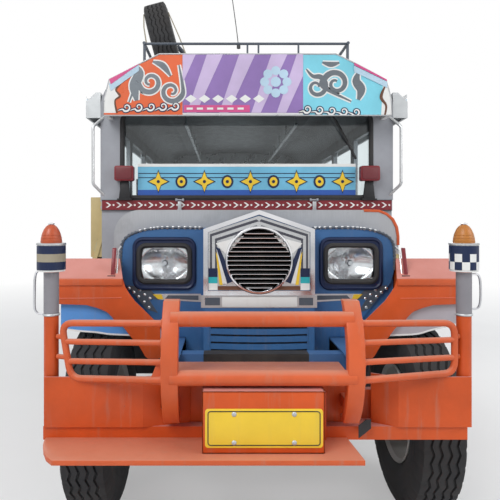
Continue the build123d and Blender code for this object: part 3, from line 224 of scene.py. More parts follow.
def vinyl(name, color):
    """Grained seat vinyl with creases and a worn sheen."""
    made = Shade(name, rough=.45)
    cells = made.node("TexVoronoi", {"Vector": made.coords, "Scale": 210.0}).outputs["Distance"]
    crease = made.noise(5, 5, .6, made.stretch((1, 3, 1)))
    made.color(made.mix(made.span(crease, .4, .75, 0, .6), color, darker(color, .55)))
    made.roughness(made.span(made.noise(8, 4), .3, .7, .36, .6))
    return made.bump(made.math("ADD", cells, crease), .3, .0014).mat


def cast(name, color, rough=.7):
    """Rough cast iron with oil and road dirt."""
    made = Shade(name, rough=rough, metal=.35)
    cloud = made.noise(8, 6, .7)
    made.color(made.mix(made.span(cloud, .4, .7), color, (.16, .12, .09)))
    made.roughness(made.span(cloud, .3, .7, rough - .1, rough + .15))
    return made.bump(made.noise(60, 5), .5, .003).mat


def plastic(name, color, rough=.3, **sockets):
    """Moulded plastic or lens with flow marks and scuffs."""
    made = Shade(name, **sockets)
    scuff = made.noise(24, 6, .7)
    made.color(made.mix(made.span(scuff, .55, .8, 0, .4), color, darker(color, .6)))
    made.roughness(made.span(scuff, .3, .8, rough, rough + .25))
    return made.bump(made.noise(120, 3), .08, .0008).mat


def lens(name, color, rough, clear):
    """Lamp plastic that lets some light through."""
    return plastic(name, color, rough, Transmission_Weight=clear, IOR=1.49)


def tread_plate(name, color):
    """Worn steel plate with rows of raised lozenges."""
    made = Shade(name, metal=.8)
    lozenge = made.node("TexVoronoi", {"Vector": made.stretch((1, .45, 1)), "Scale": 38.0},
                        distance="CHEBYCHEV")
    cloud = made.noise(5, 6, .7)
    made.color(made.mix(made.span(cloud, .4, .75, 0, .8), color, (.22, .16, .11)))
    made.roughness(made.span(cloud, .3, .7, .35, .7))
    return made.bump(made.span(lozenge.outputs["Distance"], .15, .3, 1, 0), .6, .003).mat


def glass(name, color, rough=.02):
    """Clear glass with a film of dust and smears."""
    made = Shade(name, Transmission_Weight=1.0, IOR=1.45)
    smear = made.noise(3, 6, .7, distortion=.8)
    made.color(made.mix(made.span(smear, .4, .8, 0, .5), color, darker(color, .8)))
    made.roughness(made.span(smear, .45, .8, rough, rough + .08))
    return made.mat


# Where the brushed blue of the chassis starts and ends
BLUE_FRONT_Y, BLUE_REAR_Y = (-2.76, -2.73), (-2.31, -2.29)


def chassis(name, bare=0.0):
    """Black paint, and the panel's blue between axle and bumper beyond a bare width off the middle."""
    made = Shade(name, rough=.55)
    cloud = made.noise(5, 5, .65)
    black = made.mix(made.span(cloud, .35, .7), (.02, .02, .021), (.06, .052, .045))
    blue = made.mix(made.span(cloud, .3, .7), (.045, .125, .3), (.07, .16, .33))
    ahead = made.times(made.span(made.axis("Y"), *BLUE_REAR_Y, 1.0, 0.0),
                      made.span(made.axis("Y"), *BLUE_FRONT_Y))
    aside = made.math("ABSOLUTE", made.math("ADD", made.axis("X"), .02), 0.0)
    ahead = made.times(ahead, made.span(aside, bare - .001, bare))
    made.color(made.mix(ahead, black, blue))
    made.roughness(made.span(cloud, .3, .7, .45, .7))
    return made.bump(made.noise(70, 4), .25, .0015).mat


FINISHES = {
    paint: {
        # The sixth value of each orange is the pale colour of dust and painted top light on what faces up
        "orange": ((.6, .105, .03), .42, .9, .55, .16, (.66, .28, .18), .685),
        "deep orange": ((.57, .08, .012), .4, .9, .5, .18, (.68, .36, .33), .69),
        "blue": ((.045, .135, .31), .34, .5, .3),
        "navy": ((.008, .018, .062), .34, .2, .2),
        "sky": ((.17, .47, .66), .38, .3, .2),
        "pale": ((.46, .62, .74), .42, .4, .3),
        "white": ((.78, .78, .76), .38, .4, .25, .05),
        "maroon": ((.2, .018, .025), .32, .3, .2),
        "yellow": ((.83, .56, .04), .36, .3, .2, .08),
        "violet": ((.27, .17, .42), .4, .2, .1),
        "royal": ((.03, .1, .4), .36, .3, .2),
        "visor orange": ((.74, .135, .045), .34, .2, .15),
        "visor blue": ((.21, .6, .72), .34, .2, .15),
        "lilac": ((.56, .45, .66), .4, .2, .1),
        "magenta": ((.62, .09, .25), .4, .2, .1),
        "brown": ((.13, .055, .03), .45, .4, .3),
        "tan": ((.56, .44, .21), .42, .5, .4),
        "turquoise": ((.03, .42, .46), .36, .3, .2),
        "black": ((.018, .018, .02), .45, .4, .5),
        "frame black": ((.028, .027, .027), .6, .7, .9),
        "gunmetal": ((.085, .1, .125), .4, .5, .4),
        "bench grey": ((.21, .22, .23), .5, .5, .4),
        "wheel paint": ((.42, .41, .39), .5, .7, .8),
        "liner blue": ((.1, .29, .66), .4, .3, .3),
        "liner grey": ((.42, .39, .42), .4, .3, .3),
        "sleeve grey": ((.25, .24, .26), .42, .3, .3),
        "cowl grey": ((.33, .34, .37), .38, .5, .4),
    },
    steel: {
        "dark metal": ((.16, .18, .2), .3, (4, 4, 40), .5, .6),
        # The last colour of the side and roof sheets is painted shade for their lower and inner faces
        "silver side": ((.44, .46, .49), .42, (3, 60, 3), .5, .3, (.1, .11, .12)),
        "roof sheet": ((.5, .52, .53), .42, (3, 60, 3), .5, .5, (.09, .095, .1)),
        "floor sheet": ((.12, .12, .12), .6, (3, 60, 3), .5, .3),
        "hood steel": ((.47, .48, .5), .34, (90, 3, 3), .45, .75),
        "stainless": ((.62, .63, .64), .26, (3, 3, 90), .3, .9),
        "galvanised": ((.52, .54, .55), .42, (3, 60, 3), .4, .6),
        "exhaust": ((.3, .24, .19), .5, (20, 3, 20), .7),
    },
    chrome: {
        "chrome": (),
        "dark chrome": ((.1, .1, .12), .25),
        "reflector": ((.86, .87, .88), .16),
    },
    rubber: {
        "rubber": ((.015, .015, .017), .13),
        "gasket": ((.02, .02, .022), .15),
    },
    vinyl: {
        "seat vinyl": ((.17, .03, .035),),
    },
    cast: {
        "cast": ((.085, .085, .09),),
    },
    tread_plate: {
        "tread plate": ((.4, .4, .39),),
    },
    lens: {
        "amber lens": ((.6, .22, .035), .28, .25),
        "orange lens": ((.6, .105, .03), .28, .25),
        "red lens": ((.5, .012, .012), .12, .2),
    },
    plastic: {
        "box lens": ((.15, .022, .028), .35),
        "black plastic": ((.02, .02, .021), .4),
        "rope": ((.34, .3, .22), .8),
    },
    glass: {
        "screen glass": ((.72, .8, .82),),
        "lens glass": ((.93, .95, .96), .03),
    },
    chassis: {
        "chassis": (),
        "cross member": (.197,),
    },
}
mats = {name: make(name, *how) for make, rows in FINISHES.items() for name, how in rows.items()}

# The finish of each carried-over node
FINISH = {
    "chassis": "chassis_frame",
    "cross member": "cross_members",
    "frame black": "drive_shaft fuel_tank front_axle rear_axle leaf_springs tie_rod",
    "cast": "engine knuckle_left knuckle_right",
    "exhaust": "exhaust",
    "galvanised": "side_eaves",
    "roof sheet": "roof",
    "floor sheet": "floor",
    "silver side": "body_sides",
    "stainless": "rear_frame grab_loops ceiling_rails",
    "tan": "door_left door_right",
    "bench grey": "benches front_seat_base",
    "seat vinyl": "bench_cushions front_seat_cushions",
    "cowl grey": "windscreen_frame cowl",
    "screen glass": "windscreen_glass",
    "sky": "windscreen_board",
    "black plastic": "steering_wheel",
    "white": "visor",
    "blue": "grille_shell lower_louvres",
    "pale": "wheel_wells",
    "chrome": "grille_frame",
    "navy": "headlamp_bezels",
    "lens glass": "headlamps",
    "hood steel": "hood",
    "deep orange": "front_fenders bumper_beam bumper_panels corner_posts",
    "orange": "bumper_lip bull_bar",
    "orange lens": "post_lamps",
    "black": "medallion",
    "gunmetal": "roof_rack",
    "tread plate": "rear_step",
    "red lens": "tail_lamps",
    "rubber": "spare_tyre tyre_front_left tyre_front_right tyre_rear_left tyre_rear_right",
    "wheel paint": "spare_wheel wheel_front_left wheel_front_right wheel_rear_left wheel_rear_right",
}
for finish, names in FINISH.items():
    for name in names.split():
        nodes[name].data.materials.clear()
        nodes[name].data.materials.append(mats[finish])

# Floor, background and lamps
FLOOR_HALF = 60


def stage_floor():
    """A pale floor that keeps the shadow near the wheels and fades to white further off."""
    mesh = bpy.data.meshes.new("floor_stage")
    far = ((-1, -1), (1, -1), (1, 1), (-1, 1))
    mesh.from_pydata([(FLOOR_HALF * x, FLOOR_HALF * y, 0) for x, y in far], [], [(0, 1, 2, 3)])
    ground = bpy.data.objects.new("floor_stage", mesh)
    scene.collection.objects.link(ground)
    made = Shade("pale floor", rough=.9)
    made.color(made.mix(made.span(made.noise(.8, 3), .3, .7), (.86, .86, .86), (.9, .9, .9)))
    glow = made.node("Emission", {"Color": (1, 1, 1), "Strength": 1.0}).outputs[0]
    away = made.node("VectorMath", {0: made.coords}, operation="LENGTH").outputs["Value"]
    path = made.node("LightPath")
    share = made.times(path.outputs["Is Camera Ray"], made.span(away, 3.2, 7.0, .35, 1.0))
    both = made.node("MixShader")
    made.put(both.inputs[0], share)
    made.put(both.inputs[1], made.shader.outputs[0])
    made.put(both.inputs[2], glow)
    made.put(made.tree.nodes["Material Output"].inputs["Surface"], both.outputs[0])
    mesh.materials.append(made.mat)


def white_world():
    """Even light on the object, and plain white where a ray leaves the scene."""
    world = bpy.data.worlds.new("studio")
    scene.world = world
    world.use_nodes = True
    tree = world.node_tree
    light = tree.nodes["Background"]
    light.inputs[0].default_value = (.93, .96, 1.0, 1)
    light.inputs[1].default_value = .5
    white = tree.nodes.new("ShaderNodeBackground")
    white.inputs[0].default_value = (1, 1, 1, 1)
    path = tree.nodes.new("ShaderNodeLightPath")
    plain = path.outputs["Is Camera Ray"]
    for name in ("Is Glossy Ray", "Is Transmission Ray"):
        most = tree.nodes.new("ShaderNodeMath")
        most.operation = "MAXIMUM"
        tree.links.new(plain, most.inputs[0])
        tree.links.new(path.outputs[name], most.inputs[1])
        plain = most.outputs[0]
    both = tree.nodes.new("ShaderNodeMixShader")
    tree.links.new(plain, both.inputs[0])
    tree.links.new(light.outputs[0], both.inputs[1])
    tree.links.new(white.outputs[0], both.inputs[2])
    tree.links.new(both.outputs[0], tree.nodes["World Output"].inputs["Surface"])


def lamp(name, place, aim, size, watts):
    """A soft square lamp that faces a point."""
    light = bpy.data.lights.new(name, "AREA")
    light.energy = watts
    light.size = size
    made = bpy.data.objects.new(name, light)
    scene.collection.objects.link(made)
    made.location = place
    made.rotation_euler = (Vector(aim) - Vector(place)).to_track_quat("-Z", "Y").to_euler()


stage_floor()
white_world()
scene.view_settings.view_transform = "Standard"
lamp("key", (-3.5, -7.5, 6.5), (0, -1.8, 1.0), 4.0, 350)
lamp("fill", (5.5, -5.0, 4.0), (0, -1.0, 1.2), 4.0, 130)
lamp("back", (2.0, 8.0, 6.0), (0, 1.0, 1.2), 5.0, 260)

# The two sides, by X: as the front view shows them, and as the vehicle's own for its flanks and rear
VIEW_SIDES = ((-1, "left"), (1, "right"))
OWN_SIDES = ((-1, "right"), (1, "left"))


# Ways of making pieces
def add(name, verts, faces, mat, body="body", slot=None, smooth=False, round_edge=0.0):
    """A mesh piece with its finish, riding on a body; round_edge softens its sharp edges."""
    mesh = bpy.data.meshes.new(name)
    work = bmesh.new()
    made = [work.verts.new(v) for v in verts]
    for face in faces:
        work.faces.new([made[i] for i in face])
    bmesh.ops.recalc_face_normals(work, faces=work.faces)
    if round_edge:
        sharp = [e for e in work.edges if len(e.link_faces) == 2 and e.calc_face_angle() > .6]
        bmesh.ops.bevel(work, geom=sharp, offset=round_edge, segments=2, affect="EDGES", profile=.5)
    work.to_mesh(mesh)
    work.free()
    mesh.materials.append(mats[mat])
    piece = bpy.data.objects.new(name, mesh)
    scene.collection.objects.link(piece)
    if smooth or round_edge:
        mesh.shade_smooth()
        mesh.set_sharp_from_angle(angle=.7)
    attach(piece, body)
    return piece


def prism(outline, low, high, axis="y"):
    """The vertices and faces of a flat outline carried from low to high along an axis."""
    place = {"y": lambda p, d: (p[0], d, p[1]), "x": lambda p, d: (d, p[0], p[1]),
             "z": lambda p, d: (p[0], p[1], d)}
    count = len(outline)
    verts = [place[axis](p, d) for d in (low, high) for p in outline]
    faces = [list(range(count)), list(range(count, 2 * count))]
    faces += [[i, (i + 1) % count, count + (i + 1) % count, count + i] for i in range(count)]
    return verts, faces


def gather(parts):
    """Several lists of vertices and faces as one."""
    verts, faces = [], []
    for more, shapes in parts:
        start = len(verts)
        verts += more
        faces += [[start + i for i in face] for face in shapes]
    return verts, faces


def tube_faces(sides, steps):
    """The faces of a closed tube whose rings of vertices follow one another."""
    faces = [list(range(sides)), list(range(sides * steps, sides * (steps + 1)))]
    for i in range(0, sides * steps, sides):
        for k in range(sides):
            n = (k + 1) % sides
            faces.append([i + k, i + n, i + sides + n, i + sides + k])
    return faces


def slab(name, outlines, low, high, mat, **how):
    """One piece of one or more upright outlines, carried from low to high along Y."""
    return add(name, *gather([prism(outline, low, high) for outline in outlines]), mat, **how)


def rect(x0, x1, z0, z1):
    return [(x0, z0), (x1, z0), (x1, z1), (x0, z1)]


def mirrored(side, outline):
    """An outline with X multiplied by a side of -1 or 1."""
    return [(side * x, z) for x, z in outline]


def oval(x, z, rx, rz=None, count=24):
    rz = rx if rz is None else rz
    angles = [tau * i / count for i in range(count)]
    return [(x + rx * cos(a), z + rz * sin(a)) for a in angles]


def clip(outline, region):
    """An outline cut to a convex region whose corners run anticlockwise."""
    for a, b in zip(region, region[1:] + region[:1]):
        def side(p):
            return (b[0] - a[0]) * (p[1] - a[1]) - (b[1] - a[1]) * (p[0] - a[0])

        kept = []
        for p, q in zip(outline, outline[1:] + outline[:1]):
            sp, sq = side(p), side(q)
            if sp >= 0:
                kept.append(p)
            if (sp > 0 > sq) or (sp < 0 < sq):
                t = sp / (sp - sq)
                kept.append((p[0] + (q[0] - p[0]) * t, p[1] + (q[1] - p[1]) * t))
        outline = kept
    return outline


def smooth_path(points, steps=6):
    """Points on a smooth curve through the given ones."""
    points = [Vector(p) for p in points]
    last = len(points) - 1
    out = []
    for i in range(last):
        a, b, c, d = [points[min(max(i + k, 0), last)] for k in (-1, 0, 1, 2)]
        for step in range(steps):
            t = step / steps
            out.append(.5 * (2 * b + (c - a) * t + (2 * a - 5 * b + 4 * c - d) * t * t
                              + (3 * b - a - 3 * c + d) * t ** 3))
    return out + [points[-1]]


def ribbon(points, widths):
    """The outline of a smooth stroke through 2-D points, whose width changes along it."""
    path = smooth_path([(x, z, w) for (x, z), w in zip(points, widths)])
    left, right = [], []
    for i, p in enumerate(path):
        ahead, behind = path[min(i + 1, len(path) - 1)], path[max(i - 1, 0)]
        run = Vector((ahead.x - behind.x, ahead.y - behind.y)).normalized()
        half = max(p.z, .0002) / 2
        left.append((p.x - run.y * half, p.y + run.x * half))
        right.append((p.x + run.y * half, p.y - run.x * half))
    return left + right[::-1]


def sweep(points, radius, sides=10, closed=False):
    """The vertices and faces of a round bar along 3-D points."""
    points = [Vector(p) for p in points]
    count = len(points)
    verts, faces = [], []
    up = None
    for i, p in enumerate(points):
        ahead = points[(i + 1) % count] if closed or i < count - 1 else p
        behind = points[i - 1] if closed or i > 0 else p
        run = (ahead - behind).normalized()
        if up is None:
            up = run.orthogonal().normalized()
        up = (up - run * up.dot(run)).normalized()
        over = run.cross(up)
        for k in range(sides):
            angle = tau * k / sides
            verts.append(tuple(p + (up * cos(angle) + over * sin(angle)) * radius))
    for i in range(count if closed else count - 1):
        j = (i + 1) % count
        faces += [[i * sides + k, i * sides + (k + 1) % sides, j * sides + (k + 1) % sides, j * sides + k]
                  for k in range(sides)]
    if not closed:
        faces += [list(range(sides)), list(range((count - 1) * sides, count * sides))]
    return verts, faces


def tube(name, points, radius, mat, sides=10, closed=False, **how):
    return add(name, *sweep(points, radius, sides, closed), mat, smooth=True, **how)


def lathe(profile, place, axis="y", count=28):
    """The vertices and faces of a closed profile of (radius, height) turned about an axis at place."""
    turn = {"y": lambda r, h, a: (r * cos(a), h, r * sin(a)),
            "x": lambda r, h, a: (h, r * cos(a), r * sin(a)),
            "z": lambda r, h, a: (r * cos(a), r * sin(a), h)}[axis]
    verts, faces = [], []
    rows = len(profile)
    for k in range(count):
        angle = tau * k / count
        verts += [tuple(Vector(place) + Vector(turn(r, h, angle))) for r, h in profile]
    for k in range(count):
        n = (k + 1) % count
        for i in range(rows - 1):
            faces.append([k * rows + i, k * rows + i + 1, n * rows + i + 1, n * rows + i])
    faces += [[k * rows for k in range(count)], [k * rows + rows - 1 for k in range(count)]]
    return verts, faces


def domes(places, radius, height, axis="y", toward=-1, count=10):
    """Small round heads, such as rivets and bolts, standing on a surface."""
    profile = [(radius, 0), (radius, toward * height * .4), (radius * .7, toward * height * .85),
               (radius * .25, toward * height)]
    return gather([lathe(profile, place, axis, count) for place in places])


# Tyres with zig-zag ribs
TYRE_R, BEAD_R, TYRE_HALF, TREAD_HALF = .362, .1924, .0922, .0755
AXLE_Z = .3625
SHOULDER_R, GROOVE_DEPTH, NOTCH = .318, .0085, .0045
TREAD_STEPS, ZIGZAGS, SWING = 264, 33, .0055


def tyre_mesh():
    """One tyre about the origin, its axle along X: grooved tread, shoulder blocks and raised wall rings."""
    grooves = (-.047, -.0165, .0165, .047)
    profile = [(.06, BEAD_R), (.0715, .2035), (.08, .222), (.0868, .246), (.089, .25),
               (.089, .255), (.0905, .258), (TYRE_HALF, .276), (.0912, .296), (.0925, .3),
               (.0915, .306), (.0885, .322), (.088, .33), (.084, .344), (.08, .352)]
    rows = [(x, r, 0.0, r > SHOULDER_R) for x, r in profile]
    rows.append((TREAD_HALF, TYRE_R - .002, 0.0, True))
    for groove in reversed(grooves):
        rows += [(groove + .0052, TYRE_R, 1.0, False), (groove + .0032, TYRE_R - GROOVE_DEPTH, 1.0, False),
                 (groove - .0032, TYRE_R - GROOVE_DEPTH, 1.0, False), (groove - .0052, TYRE_R, 1.0, False)]
    rows.append((-TREAD_HALF, TYRE_R - .002, 0.0, True))
    rows += [(-x, r, 0.0, r > SHOULDER_R) for x, r in reversed(profile)]
    verts, faces = [], []
    steps, count = TREAD_STEPS, len(rows)
    for k in range(steps):
        phase = (k * ZIGZAGS / steps) % 1.0
        swing = SWING * (4 * abs(phase - .5) - 1)
        notch = NOTCH if phase > .72 else 0.0
        angle = tau * k / steps
        for x, r, shift, shoulder in rows:
            depth = r - (notch if shoulder else 0.0)
            verts.append((x + swing * shift, depth * cos(angle), depth * sin(angle)))
    for k in range(steps):
        n = (k + 1) % steps
        faces += [[k * count + i, n * count + i, n * count + i + 1, k * count + i + 1]
                  for i in range(count - 1)]
        faces.append([k * count, k * count + count - 1, n * count + count - 1, n * count])
    return verts, faces


SPARE_LEAN = radians(15)
corner = {name: (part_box("tyre_" + name)[0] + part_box("tyre_" + name)[1]) / 2
          for name in ("front_left", "front_right", "rear_left", "rear_right")}
base_tyre = tyre_mesh()
for name, centre in corner.items():
    verts = [tuple(Vector(v) + Vector((centre.x, centre.y, AXLE_Z))) for v in base_tyre[0]]
    piece = add("road_tyre_" + name, verts, base_tyre[1], "rubber", body="wheel_" + name, slot="tyre",
                smooth=True)
    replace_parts(piece, "tyre_" + name)
spare_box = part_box("spare_tyre")
spare_centre = (spare_box[0] + spare_box[1]) / 2
lean = Matrix.Translation(spare_centre) @ Matrix.Rotation(-SPARE_LEAN, 4, "Y")
lean = lean @ Matrix.Scale(-1, 4, (1, 0, 0))
spare = add("spare_road_tyre", [tuple(lean @ Vector(v)) for v in base_tyre[0]], base_tyre[1], "rubber",
            slot="tyre", smooth=True)
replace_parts(spare, "spare_tyre")

# Visor board: painted fields, a plain banner and scrolls
VISOR_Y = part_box("visor")[0].y
# The depth of a layer of paint, and what keeps its overlapping sheets apart
LAYER, SKIN = .0012, .0001
VISOR = [(-.85, 1.788), (.85, 1.788), (.846, 1.885), (.818, 2.0), (.632, 2.096), (.52, 2.15),
         (-.52, 2.15), (-.632, 2.096), (-.818, 2.0), (-.846, 1.885)]


def layer(name, outlines, level, mat, y=None, **how):
    """Flat paint or sheet on an upright front surface, level counting layers out from it."""
    y = VISOR_Y if y is None else y
    front, back = y - LAYER * level, y - LAYER * (level - 1) + .0002
    sheets = [prism(outline, front - SKIN * (i % 9), back) for i, outline in enumerate(outlines)]
    return add(name, *gather(sheets), mat, **how)


def seen(points, y):
    return [at(px, py, y) for px, py in points]


def on_visor(name, outlines, level, mat):
    kept = [clip(outline, VISOR) for outline in outlines]
    return layer(name, [o for o in kept if len(o) > 2], level, mat, slot="visor")


def scroll(x, z, size, turns=1.35, way=1, start=0.0, tail=None):
    """A spiral stroke that thins towards its eye, from an optional tail point: points and widths."""
    points, widths = [], []
    if tail:
        points.append(tail)
        widths.append(size * .1)
    for i in range(13):
        t = i / 12
        angle = start + way * tau * turns * t
        reach = size * (1 - .8 * t)
        points.append((x + reach * cos(angle), z + reach * sin(angle)))
        widths.append(size * (.46 - .3 * t) if i else size * .3)
    return points, widths


def strokes(name, rows, level, outline_mat, fill_mat, spread):
    """Painted strokes on the visor with a contrasting edge."""
    on_visor(name + "_edge", [ribbon(p, [w + spread for w in ws]) for p, ws in rows], level, outline_mat)
    on_visor(name, [ribbon(p, ws) for p, ws in rows], level + 1, fill_mat)


LEFT_EDGE = seen([(103, 50), (115, 78), (121, 84), (116, 90), (119, 97), (115, 101), (116, 113), (103, 113)],
                 VISOR_Y)
on_visor("visor_orange", [rect(-1, -.385, 1.78, 2.16)], 1, "visor orange")
on_visor("visor_blue", [rect(.327, 1, 1.78, 2.16)], 1, "visor blue")
on_visor("visor_end_left", [LEFT_EDGE], 2, "white")
on_visor("visor_flame", [ribbon(seen([(112, 82), (120, 83), (116, 90), (120, 96), (115, 101), (117, 113)],
                                     VISOR_Y), [.004, .012, .01, .012, .008, .012])], 3, "brown")
on_visor("visor_end_right", [seen([(385, 50), (400, 50), (400, 116), (381, 116)], VISOR_Y)], 2, "white")
on_visor("visor_end_stripe", [ribbon(seen([(386, 84), (381, 97), (386, 106), (384, 118)], VISOR_Y),
                                     [.006, .018, .012, .01])], 3, "brown")
for side, points in (("left", [(109, 84), (139, 65), (139, 71), (111, 91)]),
                     ("right", [(354, 66), (387, 82), (387, 88), (354, 72)])):
    inner = seen(points, VISOR_Y)
    upper = seen([(x, y - 6.5) for x, y in points], VISOR_Y)
    on_visor("visor_strip_blue_" + side, [inner], 4, "pale")
    on_visor("visor_strip_magenta_" + side, [upper], 5, "magenta")
rows = [scroll(-.575, 1.985, .075, 1.3, 1, 2.6, (-.7, 1.865)),
        scroll(-.45, 1.93, .07, 1.3, -1, .2, (-.405, 2.085)),
        ([(-.69, 2.09), (-.64, 2.04), (-.668, 1.96), (-.655, 1.875)], [.016, .05, .058, .02]),
        ([(-.56, 2.105), (-.5, 2.08), (-.455, 2.02)], [.01, .036, .01])]
strokes("visor_scroll_left", rows, 2, "white", "dark metal", .016)
rows = [scroll(.405, 1.955, .068, 1.3, -1, 1.9, (.345, 2.06)),
        scroll(.52, 1.975, .078, 1.35, -1, 3.4, (.61, 1.87)),
        ([(.655, 2.045), (.64, 1.99), (.668, 1.94), (.652, 1.88)], [.014, .046, .05, .016]),
        ([(.44, 2.1), (.49, 2.088), (.54, 2.098)], [.01, .03, .01])]
strokes("visor_scroll_right", rows, 2, "white", "dark metal", .016)
for side, x0, z0, slope in (("left", -.715, 1.835, .03), ("right", .35, 1.825, -.06)):
    rows = [scroll(x0 + .072 * i, z0 + slope * .072 * i, .026, 1.1, 1, 3.6, (x0 - .05 + .072 * i, z0 - .018))
            for i in range(5)]
    strokes("visor_wave_" + side, rows, 2, "navy", "white", .012)
BANNER = rect(-.384, .326, 1.803, 2.148)
layer("banner", [BANNER], 2, "violet", slot="visor")
bands = [clip([(x, 1.8), (x + .055, 1.8), (x + .215, 2.15), (x + .12, 2.15)], BANNER)
         for x in (-.52, -.36, -.17, .02, .17)]
layer("banner_bands", [b for b in bands if len(b) > 2], 3, "lilac", slot="visor")
ROSETTE = (.165, 1.985)
petals = [oval(x, z, .027, .027, 12) for x, z in oval(*ROSETTE, .066, count=8)]
layer("banner_rosette", petals + [oval(*ROSETTE, .03)], 4, "pale", slot="visor")
layer("banner_lozenges", [[(x - .034, 1.885), (x, 1.861), (x + .034, 1.885), (x, 1.909)]
                          for x in (-.335, -.255, -.175, -.095, -.015, .065)], 4, "white", slot="visor")
layer("banner_strip", [rect(-.376, .012, 1.806, 1.848)], 4, "magenta", slot="visor")
layer("banner_dashes", [rect(x, x + .036, 1.821, 1.833) for x in (-.36, -.3, -.24, -.18, -.12, -.06)], 5,
      "white", slot="visor")
tube("visor_edge", [(x, VISOR_Y - .001, z) for x, z in VISOR], .0045, "stainless", 6, True, slot="visor")

# Windscreen: rubber gasket, board, maroon band, wiper and box lamps
FRAME_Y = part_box("windscreen_frame")[0].y
GLASS = (-.766, .766, 1.31, 1.835)


def round_rect(x0, x1, z0, z1, r, steps=5):
    """A rectangle's outline with rounded corners, anticlockwise."""
    points = []
    for cx, cz, start in ((x1 - r, z0 + r, -90), (x1 - r, z1 - r, 0), (x0 + r, z1 - r, 90),
                          (x0 + r, z0 + r, 180)):
        for i in range(steps + 1):
            angle = radians(start + 90 * i / steps)
            points.append((cx + r * cos(angle), cz + r * sin(angle)))
    return points


tube("screen_gasket", [(x, FRAME_Y + .004, z) for x, z in round_rect(*GLASS, .06)], .015, "gasket", 8, True,
     slot="windscreen_frame")
BOARD_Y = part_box("windscreen_board")[0].y
board = {"y": BOARD_Y, "slot": "windscreen_board"}
layer("board_white", [rect(-.672, .672, 1.5, 1.518)], 1, "white", **board)
layer("board_blue", [rect(-.672, .672, 1.313, 1.357)], 1, "royal", **board)
layer("board_lines", [rect(-.668, .668, z, z + .005) for z in (1.456, 1.43)], 1, "navy", **board)
MOTIF_Z = 1.408
MOTIF_X = [-.545 + .142 * i for i in range(9)]


def star(x, z, wide, tall, waist):
    """A four-pointed star with a waist of (half width, half height) between its points."""
    u, v = waist
    return [(x - wide, z), (x - u, z + v), (x, z + tall), (x + u, z + v), (x + wide, z), (x + u, z - v),
            (x, z - tall), (x - u, z - v)]


def board_motifs(grow):
    """Stars and ovals in turn along the board, each larger by a margin."""
    shapes = []
    for i, x in enumerate(MOTIF_X):
        if i % 2:
            shapes.append(oval(x, MOTIF_Z, .0248 + grow, .02852 + grow, 20))
        else:
            shapes.append(star(x, MOTIF_Z, .058 + grow, .062 + grow, (.016, .02 + grow * .6)))
    return shapes


layer("board_motif_edges", board_motifs(.012), 2, "navy", **board)
layer("board_motifs", board_motifs(0.0), 3, "yellow", **board)
layer("board_motif_eyes", [oval(x, MOTIF_Z, .01, .01, 12) for x in MOTIF_X], 4, "navy", **board)
BAND_Y, MARK_Z = FRAME_Y - .012, 1.263
layer("cowl_band", [rect(-.888, .888, 1.231, 1.293)], 1, "maroon", y=BAND_Y, slot="cowl")
marks = []
for i in range(27):
    x = -.845 + .065 * i
    low, high = MARK_Z - .016, MARK_Z + .016
    marks.append([(x - .02, low), (x - .008, low), (x + .014, MARK_Z), (x - .008, high), (x - .02, high),
                  (x + .001, MARK_Z)])
    marks.append(oval(x + .028, MARK_Z, .006, .006, 10))
layer("cowl_band_marks", marks, 2, "white", y=BAND_Y, slot="cowl")
layer("cowl_band_rims", [rect(-.89, .89, 1.291, 1.295), rect(-.89, .89, 1.229, 1.233)], 2, "black", y=BAND_Y,
      slot="cowl")
BOX_LAMP_Z = (1.409, 1.5)
for side, tag in VIEW_SIDES:
    x = side * .746
    low, high = BOX_LAMP_Z
    slab("box_lamp_" + tag, [round_rect(x - .058, x + .058, low, high, .012)], -1.352, -1.296, "maroon",
         round_edge=.004, slot="tail_lamps")
    slab("box_lamp_lens_" + tag, [round_rect(x - .047, x + .047, low + .01, high - .01, .008)], -1.358, -1.35,
         "box lens", round_edge=.003, slot="tail_lamps")
    slab("box_lamp_bracket_" + tag, [[(x - .036, 1.3), (x + .036, 1.3), (x + .022, low + .004),
                                      (x - .022, low + .004)]], -1.322, -1.3, "black", round_edge=.002,
         slot="cowl")
    slab("box_lamp_foot_" + tag, [rect(x - .045, x + .045, 1.2945, 1.302)], -1.33, -1.292, "black",
         slot="cowl")
add("wiper_pivot", *lathe([(.017, -1.318), (.017, -1.292), (.012, -1.288)], (.492, 0, 1.858)),
    "black plastic", slot="windscreen_frame", round_edge=.001)
tube("wiper_arm", smooth_path([(.492, -1.312, 1.858), (.53, -1.31, 1.8), (.575, -1.296, 1.722),
                               (.612, -1.284, 1.66)], 4), .0055, "black plastic", 6, slot="windscreen_frame")
tube("wiper_blade", [(.548, -1.276, 1.79), (.612, -1.278, 1.672), (.676, -1.276, 1.548)], .0075, "gasket", 6,
     slot="windscreen_frame")

